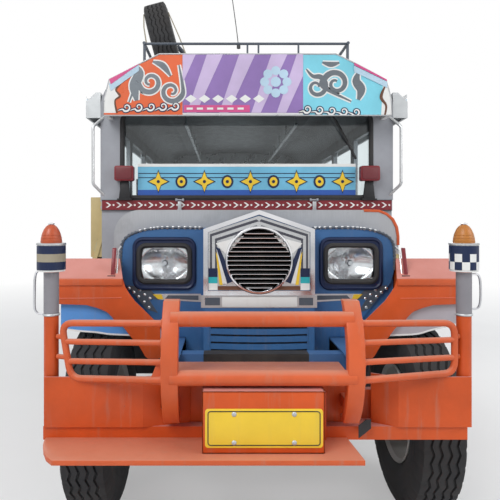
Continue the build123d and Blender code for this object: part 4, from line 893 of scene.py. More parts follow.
# Front panel: trim, lamps, chrome pentagon and medallion
NOSE_OUT = .09
SHELL_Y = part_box("grille_shell")[0].y + NOSE_OUT
NOSE_Y = SHELL_Y - NOSE_OUT
LAMP = (.388, .988)
BEAD_GAP = .0135
RIVETS = [(.535, .885), (.515, .868), (.49, .878), (.495, .85), (.47, .858), (.472, .828), (.448, .842),
          (.452, .805)]
edge_path = [(.568, .96), (.57, 1.015), (.56, 1.08), (.515, 1.115), (.415, 1.136), (.228, 1.136)]
for side, tag in VIEW_SIDES:
    path = smooth_path(mirrored(side, edge_path), 9)
    beads, gone, last = [], 0.0, path[0]
    for p in path[1:]:
        gone += (p - last).length
        last = p
        if gone > BEAD_GAP:
            beads.append((p.x, SHELL_Y, p.y))
            gone = 0.0
    for part, mat in (("top", "stainless"), ("side", "gunmetal")):
        some = [p for p in beads if (abs(p[0]) < .5) == (part == "top")]
        add("panel_scallops_%s_%s" % (part, tag), *domes(some, .0072, .005, count=8), mat, smooth=True,
            slot="grille_shell")
    tube("panel_edge_" + tag, [(p.x, SHELL_Y + .001, p.y) for p in path], .0048, "black", 6,
         slot="grille_shell")
    tube("panel_piping_" + tag, [(p.x, SHELL_Y - .002, p.y) for p in path], .0042, "gunmetal", 6,
         slot="grille_shell")
    x, z = side * LAMP[0], LAMP[1]
    tube("lamp_ring_" + tag, [(px, SHELL_Y - .004, pz) for px, pz in
                              round_rect(x - .106, x + .106, z - .076, z + .076, .03)],
         .0105, "gasket", 8, True, slot="headlamp_bezels")
    tube("lamp_frame_" + tag, [(px, SHELL_Y - .003, pz) for px, pz in
                               round_rect(x - .124, x + .124, z - .102, z + .102, .034)],
         .0085, "navy", 8, True, slot="headlamp_bezels")
    patch = seen([(128, 285), (150, 289), (160, 300), (148, 298), (158, 313), (146, 309), (133, 293)],
                 SHELL_Y)
    layer("panel_patch_" + tag, [mirrored(-side, patch)], 1, "gunmetal", y=SHELL_Y, slot="grille_shell")
    rivets = [(side * rx, SHELL_Y - LAYER, rz) for rx, rz in RIVETS]
    add("panel_rivets_" + tag, *domes(rivets, .0065, .004, count=8), "stainless", smooth=True,
        slot="grille_shell")


def lamp_surface(x, z, half_w, half_h, shape):
    """A curved sheet in a rounded rectangle about x, z; shape gives its Y from -1..1 across and up."""
    rows, columns = 28, 36
    verts, faces = [], []
    for j in range(rows + 1):
        for i in range(columns + 1):
            u, v = 2 * i / columns - 1, 2 * j / rows - 1
            bend = 1 - .1 * (u * v) ** 2
            verts.append((x + half_w * u * bend, shape(u, v), z + half_h * v * bend))
    for j in range(rows):
        for i in range(columns):
            a = j * (columns + 1) + i
            faces.append([a, a + 1, a + columns + 2, a + columns + 1])
    return verts, faces


def thick(sheet, depth):
    """A sheet of verts and faces given a back at a depth behind it, with its rim closed."""
    verts, faces = sheet
    count = len(verts)
    edges = {}
    for face in faces:
        for a, b in zip(face, face[1:] + face[:1]):
            key = (min(a, b), max(a, b))
            edges[key] = None if key in edges else (a, b)
    back = [(x, y + depth, z) for x, y, z in verts]
    rim = [[a, b, b + count, a + count] for a, b in filter(None, edges.values())]
    return verts + back, faces + [[i + count for i in face] for face in faces] + rim


def lens_face(u, v):
    dome = .01 * (1 - u * u) * (1 - v * v)
    flute = .0011 * cos(u * 30) if abs(v) > .34 or abs(u) > .42 else .0009 * cos(u * 58)
    return SHELL_Y - .004 - dome + flute + .0008 * cos(v * 22)


def reflector_face(u, v):
    return SHELL_Y + .014 + .042 * max(0.0, 1 - (u * u * .9 + v * v * .8))


for side, tag in VIEW_SIDES:
    x, z = side * LAMP[0], LAMP[1]
    pane = add("lamp_lens_" + tag, *thick(lamp_surface(x, z, .0975, .0675, lens_face), .005), "lens glass",
               smooth=True, slot="headlamps")
    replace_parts(pane, "headlamps")
    add("lamp_reflector_" + tag, *thick(lamp_surface(x, z, .097, .067, reflector_face), .002), "reflector",
        smooth=True, slot="headlamps")
    add("lamp_bulb_" + tag, *lathe([(.01, .052), (.013, .04), (.012, .024), (.006, .016), (.001, .014)],
                                   (x, SHELL_Y, z)), "lens glass", smooth=True, slot="headlamps")
    add("lamp_bulb_cap_" + tag, *lathe([(.009, .012), (.013, .016), (.013, .022), (.009, .024)],
                                       (x, SHELL_Y, z)), "chrome", smooth=True, slot="headlamps")


def nose_layer(name, outlines, level, mat):
    """Flat sheet on the face inside the pentagon, mirrored to both sides."""
    both = outlines + [mirrored(-1, outline) for outline in outlines]
    return layer(name, both, level, mat, y=NOSE_Y, slot="grille_frame")


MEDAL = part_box("medallion")
medal_z, medal_r = (MEDAL[0].z + MEDAL[1].z) / 2, (MEDAL[1].z - MEDAL[0].z) / 2
hole_r, SHEET_LOW, SHEET_HALF = medal_r - .006, .888, .203
angles = [radians(90 - 180 * k / 24) for k in range(25)]
hole = [(max(hole_r * cos(a), 0.0), medal_z + hole_r * sin(a)) for a in angles]
hole = [p for p in hole if p[1] > SHEET_LOW + .001]
nose_layer("nose_sheet", [[(0.0, 1.186)] + hole + [(hole[-1][0], SHEET_LOW), (SHEET_HALF, SHEET_LOW),
                                                  (SHEET_HALF, 1.12)]], 1, "stainless")
nose_layer("nose_channels", [
    [(.188, .96), (.196, .96), (.196, 1.112), (.01, 1.172), (0, 1.164), (.188, 1.104)],
    [(.168, .96), (.176, .96), (.176, 1.094), (.01, 1.148), (0, 1.14), (.168, 1.086)]], 2, "dark chrome")
nose_layer("nose_fan_white", [[(.173, 1.0755), (.06, 1.106), (.13, 1.03)],
                              [(.17, 1.052), (.16, 1.042), (.128, .915), (.146, .915)]], 3, "white")
nose_layer("nose_fan_navy", [[(.172, 1.062), (.156, 1.054), (.1, .925), (.127, .915)]], 4, "navy")
nose_layer("nose_fan_yellow", [[(.173, 1.042), (.167, 1.03), (.145, .91), (.158, .91)]], 4, "yellow")
for level, (z0, z1, mat) in enumerate(((.941, .976, "navy"), (.916, .941, "turquoise"),
                                       (.89, .916, "white"))):
    nose_layer("nose_block_%d" % level, [rect(.166, .202, z0, z1)], 3, mat)
nose_layer("nose_foot", [[(.066, .889), (.165, .889), (.165, .905), (.088, .905)]], 3, "brown")
ring = [(medal_r - .014, NOSE_Y + .001), (medal_r - .014, MEDAL[0].y + .006),
        (medal_r - .009, MEDAL[0].y - .002), (medal_r - .003, MEDAL[0].y - .001),
        (medal_r - .0005, MEDAL[0].y + .005), (medal_r - .0005, NOSE_Y + .001)]
rim = add("medallion_ring", *lathe(ring, (0, 0, medal_z), count=64), "chrome", smooth=True, slot="medallion")
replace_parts(rim, "medallion")
SLAT_R, SLATS, SLAT_GAP = .1225, 13, .018
blades, lines = [], []
for i in range(SLATS):
    z = medal_z + SLAT_GAP * (i - (SLATS - 1) / 2)
    half = sqrt(SLAT_R ** 2 - (z - medal_z) ** 2)
    fold = [(NOSE_Y - .008, z - .0035), (NOSE_Y - .0065, z - .0015), (NOSE_Y + .006, z + .0085),
            (NOSE_Y + .0045, z + .0065)]
    blades.append(prism(fold, -half, half, "x"))
    lines.append(sweep([(-half, NOSE_Y - .008, z - .003), (half, NOSE_Y - .008, z - .003)], .0017, 8))
slats = add("medallion_blades", *gather(blades), "black", slot="medallion")
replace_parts(slats, "medallion")
add("medallion_lines", *gather(lines), "chrome", smooth=True, slot="medallion")
add("medallion_back", *lathe([(.1235, NOSE_Y + .008), (.1235, NOSE_Y + .011)], (0, 0, medal_z), count=48),
    "black", slot="medallion")
STRIP = (.8215, .8645)
layer("nose_strip", [rect(-.232, .232, .818, .868)], 1, "stainless", y=NOSE_Y, slot="grille_shell")
slab("blank_name_plate", [rect(-.148, .152, *STRIP)], NOSE_Y - .006, NOSE_Y - .001, "white", round_edge=.0015,
     slot="grille_shell")
layer("nose_strip_boxes", [rect(-.216, -.156, .828, .858), rect(.16, .216, .828, .858)], 2, "gunmetal",
      y=NOSE_Y, slot="grille_shell")
for side, tag in VIEW_SIDES:
    wing = [(.236, .828), (.415, .838), (.44, .862), (.236, .862)]
    window = [(.246, .836), (.385, .842), (.372, .856), (.246, .855)]
    tip = [(.392, .84), (.415, .84), (.436, .86), (.4, .86)]
    for part, outline, level, mat in (("", wing, 1, "stainless"), ("box_", window, 2, "gunmetal"),
                                      ("tip_", tip, 2, "yellow")):
        layer("strip_wing_" + part + tag, [mirrored(side, outline)], level, mat, y=SHELL_Y,
              slot="grille_shell")

# Lower louvres: bowed blue blades before a black sheet, painted shade for the dark opening behind them
LOUVRE_HALF, LOUVRE_Z, LOUVRE_STEPS = .197, (.6125, .7415), 20
louvre_parts = []
for z in (.722, .692, .662, .632):
    verts = []
    for k in range(LOUVRE_STEPS + 1):
        x = LOUVRE_HALF * (2 * k / LOUVRE_STEPS - 1)
        bow = 1 - (x / LOUVRE_HALF) ** 2
        y0, z0 = NOSE_Y + .002 - .0015 * bow, z - .0035 * bow
        verts += [(x, y0 + .0085, z0 + .013), (x, y0, z0 + .01), (x, y0, z0 - .009),
                  (x, y0 + .0025, z0 - .009), (x, y0 + .003, z0 + .009)]
    louvre_parts.append((verts, tube_faces(5, LOUVRE_STEPS)))
for x in (-.1955, .1955):
    louvre_parts.append(prism(rect(x - .002, x + .002, *LOUVRE_Z), NOSE_Y + .001, NOSE_Y + .0115))
blades = add("louvre_blades", *gather(louvre_parts), "blue", slot="lower_louvres")
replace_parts(blades, "lower_louvres")
# The black sheet behind the blades is painted shade standing in for the dark opening
add("louvre_shade_sheet", *prism(rect(-.1975, .1975, *LOUVRE_Z), NOSE_Y + .0105, NOSE_Y + .0118), "black",
    slot="lower_louvres")

# Hood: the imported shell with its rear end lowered, so that the cowl's band shows over it
HOOD_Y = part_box("hood")[0].y
HOOD_DROP, HOOD_LENGTH, SKIRT_TOP, SHOULDER = .066, .95, 1.1, .1


def lowered(point):
    """A point of the hood, lowered by how far it lies towards the rear and above the skirt."""
    back = min(1.0, max(0.0, (point.y - HOOD_Y) / HOOD_LENGTH))
    high = min(1.0, max(0.0, (point.z - SKIRT_TOP) / SHOULDER))
    return (point.x, point.y, point.z - HOOD_DROP * back * high)


shell = nodes["hood"]
index, hood_verts, hood_faces, known = {}, [], [], set()
for polygon in shell.data.polygons:
    face = []
    for i in polygon.vertices:
        point = shell.matrix_world @ shell.data.vertices[i].co
        key = tuple(round(c, 5) for c in point)
        if key not in index:
            index[key] = len(hood_verts)
            hood_verts.append(lowered(point))
        if index[key] not in face:
            face.append(index[key])
    if len(face) > 2 and frozenset(face) not in known:
        known.add(frozenset(face))
        hood_faces.append(face)
skin = add("hood_skin", hood_verts, hood_faces, "hood steel", body="hood", slot="hood", smooth=True)
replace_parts(skin, "hood")
for side, tag in VIEW_SIDES:
    x = side * .41
    slab("hood_hinge_strap_" + tag, [rect(x - .011, x + .011, 1.226, 1.284)],
         -1.3335, -1.3275, "hood steel", round_edge=.0015, body="hood", slot="hood")

# Painted band on the hood's front corner
edge_outer = [(.622, 1.06), (.622, 1.1), (.616, 1.14), (.598, 1.176), (.57, 1.2), (.535, 1.214),
              (.468, 1.216)]
edge_inner = [(.468, 1.2045), (.533, 1.203), (.564, 1.19), (.588, 1.168), (.604, 1.135), (.61, 1.098),
              (.61, 1.06)]
slab("hood_edge_band", [edge_outer + edge_inner], HOOD_Y - .0035, HOOD_Y + .03, "orange", round_edge=.001,
     slot="hood", body="hood")

for side, tag in VIEW_SIDES:
    x = side * .58
    strap = [(-2.503, .95), (-2.497, .953), (-2.46, 1.054), (-2.464, 1.058), (-2.469, 1.055)]
    add("latch_strap_" + tag, *prism(strap, x - .008, x + .008, "x"), "maroon", slot="hood", round_edge=.002)
    tube("latch_rod_" + tag, [(x - side * .014, -2.492, .952), (x - side * .013, -2.455, 1.046),
                              (x - side * .02, -2.43, 1.06)], .0035, "stainless", 8, slot="hood")
    slab("latch_foot_" + tag, [rect(x - .019, x + .012, .944, .9505)], -2.512, -2.484, "black",
         round_edge=.001, slot="hood")

# Corner posts: chequered lamp bands, ribbed domes and wire loops
POSTS = ((-.705, "left", "orange lens"), (.645, "right", "amber lens"))
POST_Y = -2.875
BAND = (1.001, 1.091)
BAND_R, BAND_SKIN, CELLS, CELL_TALL = .0445, .0014, 12, .026


def band_cell(x, k, z):
    """One painted cell of a lamp's band, bent round the post at x."""
    angles = [tau * (k + j / 3) / CELLS for j in range(4)]
    verts = [(x + r * cos(a), POST_Y + r * sin(a), height) for r in (BAND_R, BAND_R + BAND_SKIN)
             for height in (z, z + CELL_TALL) for a in angles]
    faces = [[0, 4, 12, 8], [3, 11, 15, 7]]
    for j in range(3):
        faces += [[j, j + 1, j + 5, j + 4], [j + 8, j + 12, j + 13, j + 9], [j, j + 8, j + 9, j + 1],
                  [j + 4, j + 5, j + 13, j + 12]]
    return verts, faces


def turned(name, x, profile, mat, count=32):
    """A lamp part turned about the post at x; the heights in its profile are from the top of the band."""
    spun = [(r, BAND[1] + height) for r, height in profile]
    return add(name, *lathe(spun, (x, POST_Y, 0), "z", count), mat, smooth=True, slot="post_lamps")


for x, tag, lens_mat in POSTS:
    wall = [(.012, BAND[0] - BAND[1]), (.0438, BAND[0] - BAND[1]), (.0438, 0), (.012, 0)]
    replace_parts(turned("post_drum_" + tag, x, wall, "white", 40), "post_lamps")
    dome = [(.034, -.002), (.034, .008), (.0325, .02), (.029, .034), (.024, .046), (.017, .056), (.009, .062),
            (.002, .064)]
    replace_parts(turned("post_dome_" + tag, x, dome, lens_mat, 40), "post_lamps")
    rows = ("navy", "rope", "navy") if x < 0 else ("chequer", "chequer", "navy")
    for colour in ("white", "navy", "rope"):
        cells = []
        for row, kind in enumerate(rows):
            for k in range(CELLS):
                shade = ("white", "navy")[(k + row) % 2] if kind == "chequer" else kind
                if shade == colour:
                    cells.append(band_cell(x, k, BAND[0] + .006 + row * CELL_TALL))
        if cells:
            add("post_band_%s_%s" % (colour, tag), *gather(cells), colour, slot="post_lamps")
    turned("post_rim_" + tag, x, [(.044, -.004), (.047, -.004), (.047, .002), (.044, .003)], "stainless")
    ribs = [lathe([(r - .001, z), (r + .0009, z + .002), (r - .001, z + .004)], (x, POST_Y, 0), "z", 32)
            for r, z in ((.034, BAND[1] + .006), (.0328, BAND[1] + .016), (.0308, BAND[1] + .026))]
    add("post_lens_ribs_" + tag, *gather(ribs), lens_mat, smooth=True, slot="post_lamps")
    turned("post_cap_" + tag, x, [(.01, .063), (.011, .066), (.004, .069)], "chrome", 16)
loops = {"left": [(-.727, 1.0), (-.755, .996), (-.76, .93), (-.757, .87), (-.727, .862)],
         "right": [(.667, .99), (.694, .986), (.7, .93), (.694, .884), (.667, .878)]}
for tag, points in loops.items():
    tube("post_loop_" + tag, smooth_path([(x, POST_Y, z) for x, z in points], 5), .0042, "chrome", 6,
         slot="corner_posts")
for x, tag, _ in POSTS:
    tube("post_collar_" + tag, [(u, v, .86) for u, v in oval(x, POST_Y, .0245)], .004, "galvanised", 6, True,
         slot="corner_posts")
    tube("post_sleeve_" + tag, [(x, POST_Y, .862), (x, POST_Y, .998)], .0247, "sleeve grey", 20,
         slot="corner_posts")

# Roof rack: ropes and antennas
tube("rack_rope_outer", [(-.752, -.475, 2.74), (-.7, -.83, 2.52), (-.634, -1.18, 2.3)], .0045, "rope", 6,
     slot="roof_rack")
tube("rack_rope_inner", [(-.56, -.52, 2.74), (-.45, -.86, 2.44), (-.355, -1.18, 2.155)], .0045, "rope", 6,
     slot="roof_rack")
tube("antenna", smooth_path([(-.045, -1.1, 2.292), (-.06, -1.1, 2.42), (-.085, -1.1, 2.6),
                             (-.112, -1.1, 2.78), (-.128, -1.1, 2.885)], 4), .0028, "black plastic", 6,
     slot="roof_rack")
add("antenna_base", *lathe([(.012, 2.286), (.012, 2.31), (.006, 2.325)], (-.045, -1.1, 0), "z", 14),
    "black plastic", smooth=True, slot="roof_rack")

# Side eaves: stacked rails
for side, tag in VIEW_SIDES:
    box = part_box("side_eaves")
    y0, y1 = box[0].y, box[1].y
    for i, (z, mat) in enumerate(((1.935, "stainless"), (1.905, "sky"), (1.878, "stainless"), (1.85, "sky"),
                                  (1.822, "stainless"))):
        x = (.9885 - .003 * (i % 2)) * side
        x0, x1 = sorted((x, x - side * .004))
        slab("eave_bar_%s_%d" % (tag, i), [rect(x0, x1, z - .01, z + .01)], y0 + .004, y1 - .004, mat,
             slot="side_eaves")

# Bull bar: bowed uprights, tubes, worn top plate and side loops
BULL_X, BULL_HALF = -.022, .284
BOW_TOP, BOW_LOW, BOW_END, BOW_FRONT, BOW_WALL, BOW_STEPS = .914, .525, -2.938, -3.018, .04, 16
BOW_MIDDLE, BOW_REACH = (BOW_TOP + BOW_LOW) / 2, (BOW_TOP - BOW_LOW) / 2
BOW_RADIUS = (BOW_REACH ** 2 + (BOW_END - BOW_FRONT) ** 2) / (2 * (BOW_END - BOW_FRONT))
SIDE_BARS = (.677, .733, .79, .846)
BEND_STEPS = 6
LOOP_Y, SHELF_BACK_Y = -2.9, -2.9255


def bow_y(z):
    """The front face of an upright at a height."""
    return BOW_FRONT + BOW_RADIUS - sqrt(BOW_RADIUS ** 2 - (z - BOW_MIDDLE) ** 2)


def bent(points, radius):
    """A path of straight runs with its corners rounded."""
    points = [Vector(p) for p in points]
    out = [points[0]]
    for before, corner_point, after in zip(points, points[1:], points[2:]):
        start = corner_point + (before - corner_point).normalized() * radius
        stop = corner_point + (after - corner_point).normalized() * radius
        for i in range(BEND_STEPS + 1):
            t = i / BEND_STEPS
            out.append(start * (1 - t) ** 2 + corner_point * 2 * t * (1 - t) + stop * t * t)
    return out + [points[-1]]


def brick(x0, x1, y0, y1, z0, z1):
    return prism(rect(x0, x1, z0, z1), y0, y1)


uprights, horns = [], []
for side in (-1, 1):
    x0, x1 = BULL_X + side * BULL_HALF - .026, BULL_X + side * BULL_HALF + .026
    zs = [BOW_LOW + (BOW_TOP - BOW_LOW) * i / BOW_STEPS for i in range(BOW_STEPS + 1)]
    verts = []
    for z in zs:
        y = bow_y(z)
        verts += [(x0, y, z), (x1, y, z), (x1, y + BOW_WALL, z), (x0, y + BOW_WALL, z)]
    uprights.append((verts, tube_faces(4, BOW_STEPS)))
    horns.append(brick(x0 + .006, x1 - .006, -2.96, -2.832, .56, .6))
    horns.append(brick(x0 + .006, x1 - .006, BOW_END + BOW_WALL - .01, -2.834, .524, .532))
inner = (BULL_X - BULL_HALF + .01, BULL_X + BULL_HALF - .01)
uprights += [brick(*inner, -2.99, -2.8, .68, .686), brick(*inner, -2.806, -2.8, .6, .683)]
plates = add("bull_bar_uprights", *gather(uprights + horns), "orange", slot="bull_bar", round_edge=.0035)
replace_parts(plates, "bull_bar")
tubes = []
for z in (.859, .686):
    y = bow_y(z) + BOW_WALL / 2
    tubes.append(sweep([(BULL_X - BULL_HALF, y, z), (BULL_X + BULL_HALF, y, z)], .024, 24))
welds = []
for side in (-1, 1):
    near = BULL_X + side * (BULL_HALF + .02)
    far = -.03 + side * .634
    ends = [(near, bow_y(z) + .024, z) for z in (SIDE_BARS[3], SIDE_BARS[0])]
    slant, drop = (.03, .018) if side < 0 else (0.0, 0.0)
    corners = [(far, LOOP_Y, SIDE_BARS[3] - .01), (far + slant, LOOP_Y, SIDE_BARS[0] - .002 - drop)]
    tubes.append(sweep(bent([ends[0]] + corners + [ends[1]], .04), .011, 16))
    for z, share in zip(SIDE_BARS[1:3], (.67, .33)):
        tubes.append(sweep([(near, bow_y(z) + .024, z), (far + slant * share, LOOP_Y,
                                                         z - .008 - drop * share)], .0095, 16))
    for z, share in ((.725, .69), (.79, .29)):
        tubes.append(sweep([(far + slant * share, LOOP_Y, z), (-.03 + side * .652, -2.886, z)], .008, 12))
    for z in SIDE_BARS:
        bead = oval(bow_y(z) + .024, z, .017, .013, 14)
        welds.append(sweep([(near + side * .0065, u, v) for u, v in bead], .003, 6, True))
stub = seen([(150.0, 380.0), (156.0, 365.0), (163.0, 364.0), (163.0, 385.0), (152.0, 384.0)], -2.98)
tubes.append(prism(stub, -2.985, -2.95))
pipes = add("bull_bar_tubes", *gather(tubes), "orange", slot="bull_bar", smooth=True)
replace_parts(pipes, "bull_bar")
add("bull_bar_welds", *gather(welds), "orange", slot="bull_bar", smooth=True)

# Bumper: the thin lip, the plate box ahead of the shelf and the recessed middle panel
lip_outline = [(-.712, -2.93), (-.706, -2.956), (-.69, -3.0), (-.668, -3.045), (-.643, -3.0745),
               (.272, -3.0745), (.256, -2.9022), (-.714, -2.9022)]
lip_parts = [prism(lip_outline, .452, .468, "z")]
for x in (-.581, -.281, .203):
    lip_parts.append(brick(x - .025, x + .025, -2.96, -2.83, .4445, .4597))
lip = add("bumper_step", *gather(lip_parts), "orange", slot="bumper_lip", round_edge=.002)
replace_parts(lip, "bumper_lip")
BOX_X, BOX_Y, BOX_Z, BOX_WALL = (-.2055, .1615), -3.03, (.469, .655), .004
shell = [brick(*BOX_X, BOX_Y, BOX_Y + BOX_WALL, *BOX_Z),
         brick(*BOX_X, BOX_Y, SHELF_BACK_Y, BOX_Z[1] - BOX_WALL, BOX_Z[1]),
         brick(*BOX_X, BOX_Y, SHELF_BACK_Y, BOX_Z[0], BOX_Z[0] + BOX_WALL),
         brick(BOX_X[0], BOX_X[0] + BOX_WALL, BOX_Y, SHELF_BACK_Y, *BOX_Z),
         brick(BOX_X[1] - BOX_WALL, BOX_X[1], BOX_Y, SHELF_BACK_Y, *BOX_Z)]
add("plate_box_case", *gather(shell), "deep orange", slot="bumper_beam", round_edge=.0012)
PLATE = (-.1968, .1561, .487, .604)
slab("number_plate", [round_rect(*PLATE, .01)], BOX_Y - .003, BOX_Y - .0003, "yellow", round_edge=.001,
     slot="bumper_beam")
rim = round_rect(PLATE[0] + .009, PLATE[1] - .009, PLATE[2] + .008, PLATE[3] - .008, .008)
tube("number_plate_rim", [(x, BOX_Y - .003, z) for x, z in rim], .0016, "black", 6, True, slot="bumper_beam")
add("plate_bolts", *domes([(x, BOX_Y - .003, z) for x in (-.11, .07) for z in (.588, .503)], .0075, .004),
    "galvanised", smooth=True, slot="bumper_beam")
add("bumper_middle_panel", *gather([brick(-.25, .3, -2.864, -2.856, .5035, .66)]), "deep orange",
    slot="bumper_panels", round_edge=.002)

# Black rubber sheet where the beam is cut beside the middle panel, a painted shadow standing in for the dark
# gap
gap_shade = seen([(358.5, 438.5), (371, 428.5), (371, 419.5), (366, 419.5), (358.5, 425.5)], -2.9265)
slab("beam_gap_shade", [gap_shade], -2.9275, SHELF_BACK_Y, "gasket", slot="bumper_beam")

# Blue foot of the front panel either side of the louvres, notched over the chassis rails
for side, tag in VIEW_SIDES:
    foot = [(.2225, .602), (.2985, .602), (.2985, .682), (.364, .682), (.39, .731), (.2225, .731)]
    slab("panel_foot_" + tag, [mirrored(side, foot)], -2.385, -2.374, "blue", round_edge=.0015,
         slot="grille_shell")

# Front fenders: face sheets lapped on to the front panel, folded lip, arch liners, and black flaps behind the
# front wheels as painted shade of the wheel wells
FENDER_Y = -2.525
face_seen = [(56.5, 303.9), (86.4, 305), (103.8, 309.8), (112.4, 316.3), (119, 321.8), (125.4, 329.4),
             (131.4, 337.5), (138.5, 344.5), (147, 358), (160.5, 358), (160.5, 326.2), (154.8, 320.4),
             (144.5, 310.2), (135, 301), (129.5, 293.5), (125.4, 287), (122.9, 279), (56.5, 279)]
face = seen(face_seen, FENDER_Y)
for side, tag in VIEW_SIDES:
    slab("fender_face_" + tag, [mirrored(-side, face)], FENDER_Y - .003, FENDER_Y - .0002, "deep orange",
         round_edge=.0008, slot="front_fenders")
    x0, x1 = sorted((side * .536, side * .7955))
    # The lip takes the lighter of the two oranges: a painted highlight on its fold
    slab("fender_lip_" + tag, [rect(x0, x1, .913, .9395)], FENDER_Y - .0085, FENDER_Y - .0025, "orange",
         round_edge=.0028, slot="front_fenders")
    tube("fender_crease_" + tag, [(x0 + .012, FENDER_Y - .0028, .862), (x1 - .004, FENDER_Y - .0028, .864)],
         .0022, "deep orange", 8, slot="front_fenders")
    top = [(side * .536, FENDER_Y, .9395), (side * .5735, FENDER_Y, .9395), (side * .5735, -2.4, 1.009),
           (side * .5705, -2.4, 1.009)]
    add("fender_lap_" + tag, top + [(x, y, z - .004) for x, y, z in top],
        [[0, 1, 2, 3], [7, 6, 5, 4]] + [[k, (k + 1) % 4, 4 + (k + 1) % 4, 4 + k] for k in range(4)],
        "deep orange", slot="front_fenders")
    finish = "liner blue" if side < 0 else "liner grey"
    low_edge = [(.7825, .737), (.715, .729), (.64, .723), (.59, .716), (.505, .712)]
    if side > 0:
        low_edge = [(.7825, .756), (.755, .751), (.672, .731), (.615, .716), (.505, .711)]
    liner = mirrored(side, low_edge + [(.505, .855), (.7825, .855)])
    slab("arch_liner_" + tag, [liner], -2.5085, -2.5055, finish, slot="wheel_wells")
    strip = ribbon([(side * x, z + .0038) for x, z in low_edge], [.0065] * len(low_edge))
    slab("arch_liner_strip_" + tag, [strip], -2.51, -2.5085, "white", slot="wheel_wells")
    backing = [(.4, .9), (.568, .925), (.568, .87), (.53, .82), (.46, .76), (.42, .72), (.39, .72)]
    slab("panel_backing_" + tag, [mirrored(side, backing)], -2.3715, -2.3685, "blue",
         slot="grille_shell")
    # Black flaps behind the front wheels: painted shade for the dark wheel wells beside the tyres
    x0, x1 = sorted((side * .365, side * .78))
    slab("wheel_well_shade_flap_" + tag, [rect(x0, x1, .395, .69)], -1.8995, -1.8935, "gasket", round_edge=.0015,
         slot="wheel_wells")

# Body sides: painted stripes that follow the flank, window beads, rails, handles and the tan side board
FLANK, KNEE_Z, BELT_Z, HALF_W = .985, .9, 1.25, .9
flank_points = [(FLANK, KNEE_Z), (.9255, 1.115), (HALF_W, BELT_Z)]


def circle_through(a, b, c):
    """The centre and radius of the circle through three points."""
    d = 2 * (a[0] * (b[1] - c[1]) + b[0] * (c[1] - a[1]) + c[0] * (a[1] - b[1]))
    sq = [p[0] ** 2 + p[1] ** 2 for p in (a, b, c)]
    u = (sq[0] * (b[1] - c[1]) + sq[1] * (c[1] - a[1]) + sq[2] * (a[1] - b[1])) / d
    v = (sq[0] * (c[0] - b[0]) + sq[1] * (a[0] - c[0]) + sq[2] * (b[0] - a[0])) / d
    return u, v, hypot(a[0] - u, a[1] - v)


FLANK_U, FLANK_V, FLANK_R = circle_through(*flank_points)


def flank_x(z):
    """The outer face of the side at a height."""
    if z <= KNEE_Z:
        return FLANK
    if z >= BELT_Z:
        return HALF_W
    run = sqrt(FLANK_R ** 2 - (z - FLANK_V) ** 2)
    chord = FLANK - (FLANK - HALF_W) * (z - KNEE_Z) / (BELT_Z - KNEE_Z)
    return min((FLANK_U + run, FLANK_U - run), key=lambda x: abs(x - chord))


def stripe(side, y0, y1, z0, z1, proud=.0012):
    """A painted band on the flank between two heights."""
    count, ring = 6, ((y0, -.0004), (y0, proud), (y1, proud), (y1, -.0004))
    zs = [z0 + (z1 - z0) * i / count for i in range(count + 1)]
    verts = [(side * (flank_x(z) + out), y, z) for z in zs for y, out in ring]
    return verts, tube_faces(4, count)


DOOR_Y, SIDE_Y, ARCH_Y = (-1.182, -.403), (-.392, 2.856), (.955, 1.735)
WINDOW_Z, WINDOW_HALF, WINDOW_GAP = (1.326, 1.824), .349, .765
BANDS = (("orange", ((.915, .965), (1.205, 1.222))), ("sky", ((.975, 1.03),)),
         ("navy", ((1.04, 1.052), (1.188, 1.197))))
for side, tag in OWN_SIDES:
    door = {"body": "door_" + tag, "slot": "door"}
    for mat, rows in BANDS:
        add("side_band_%s_%s" % (mat, tag), *gather([stripe(side, *SIDE_Y, *row) for row in rows]), mat,
            slot="body_sides")
        add("door_band_%s_%s" % (mat, tag), *gather([stripe(side, *DOOR_Y, *row) for row in rows]), mat,
            **door)
    rails = [stripe(side, *SIDE_Y, .868, .892, .0042)]
    rails += [stripe(side, y0, y1, .612, .64, .0042)
              for y0, y1 in ((SIDE_Y[0], ARCH_Y[0]), (ARCH_Y[1], SIDE_Y[1]))]
    add("side_rails_" + tag, *gather(rails), "stainless", slot="body_sides", round_edge=.0012)
    add("door_rail_" + tag, *gather([stripe(side, *DOOR_Y, .868, .892, .0042)]), "stainless",
        **door, round_edge=.0012)
    beads = []
    for row in range(4):
        y = .06 + WINDOW_GAP * row
        rim = round_rect(y - WINDOW_HALF, y + WINDOW_HALF, *WINDOW_Z, .054)
        beads.append(sweep([(side * .9025, py, pz) for py, pz in rim], .0055, 8, True))
    add("window_beads_" + tag, *gather(beads), "stainless", smooth=True, slot="body_sides")
    latch = [(side * .9035, -.47, 1.262), (side * .93, -.47, 1.262), (side * .934, -.5, 1.262),
             (side * .934, -.56, 1.262), (side * .93, -.59, 1.262), (side * .9035, -.59, 1.262)]
    tube("door_handle_" + tag, smooth_path(latch, 3), .0065, "chrome", 10, **door)
    tube("door_top_rail_" + tag, [(side * .885, -1.176, 1.301), (side * .885, -.409, 1.301)], .013,
         "stainless", 12, **door)
right_door = {"body": "door_right", "slot": "door"}
slab("side_board", [rect(-.988, -.914, .935, 1.316)], -1.176, -1.148, "tan", round_edge=.004,
     **right_door)
slab("side_board_brackets", [rect(-.92, -.896, z, z + .03) for z in (1.25, 1.275)], -1.15, -1.1,
     "frame black", round_edge=.002, **right_door)
slab("side_board_catch", [rect(-.934, -.908, 1.052, 1.074)], -1.1835, -1.1745, "yellow", round_edge=.003,
     **right_door)

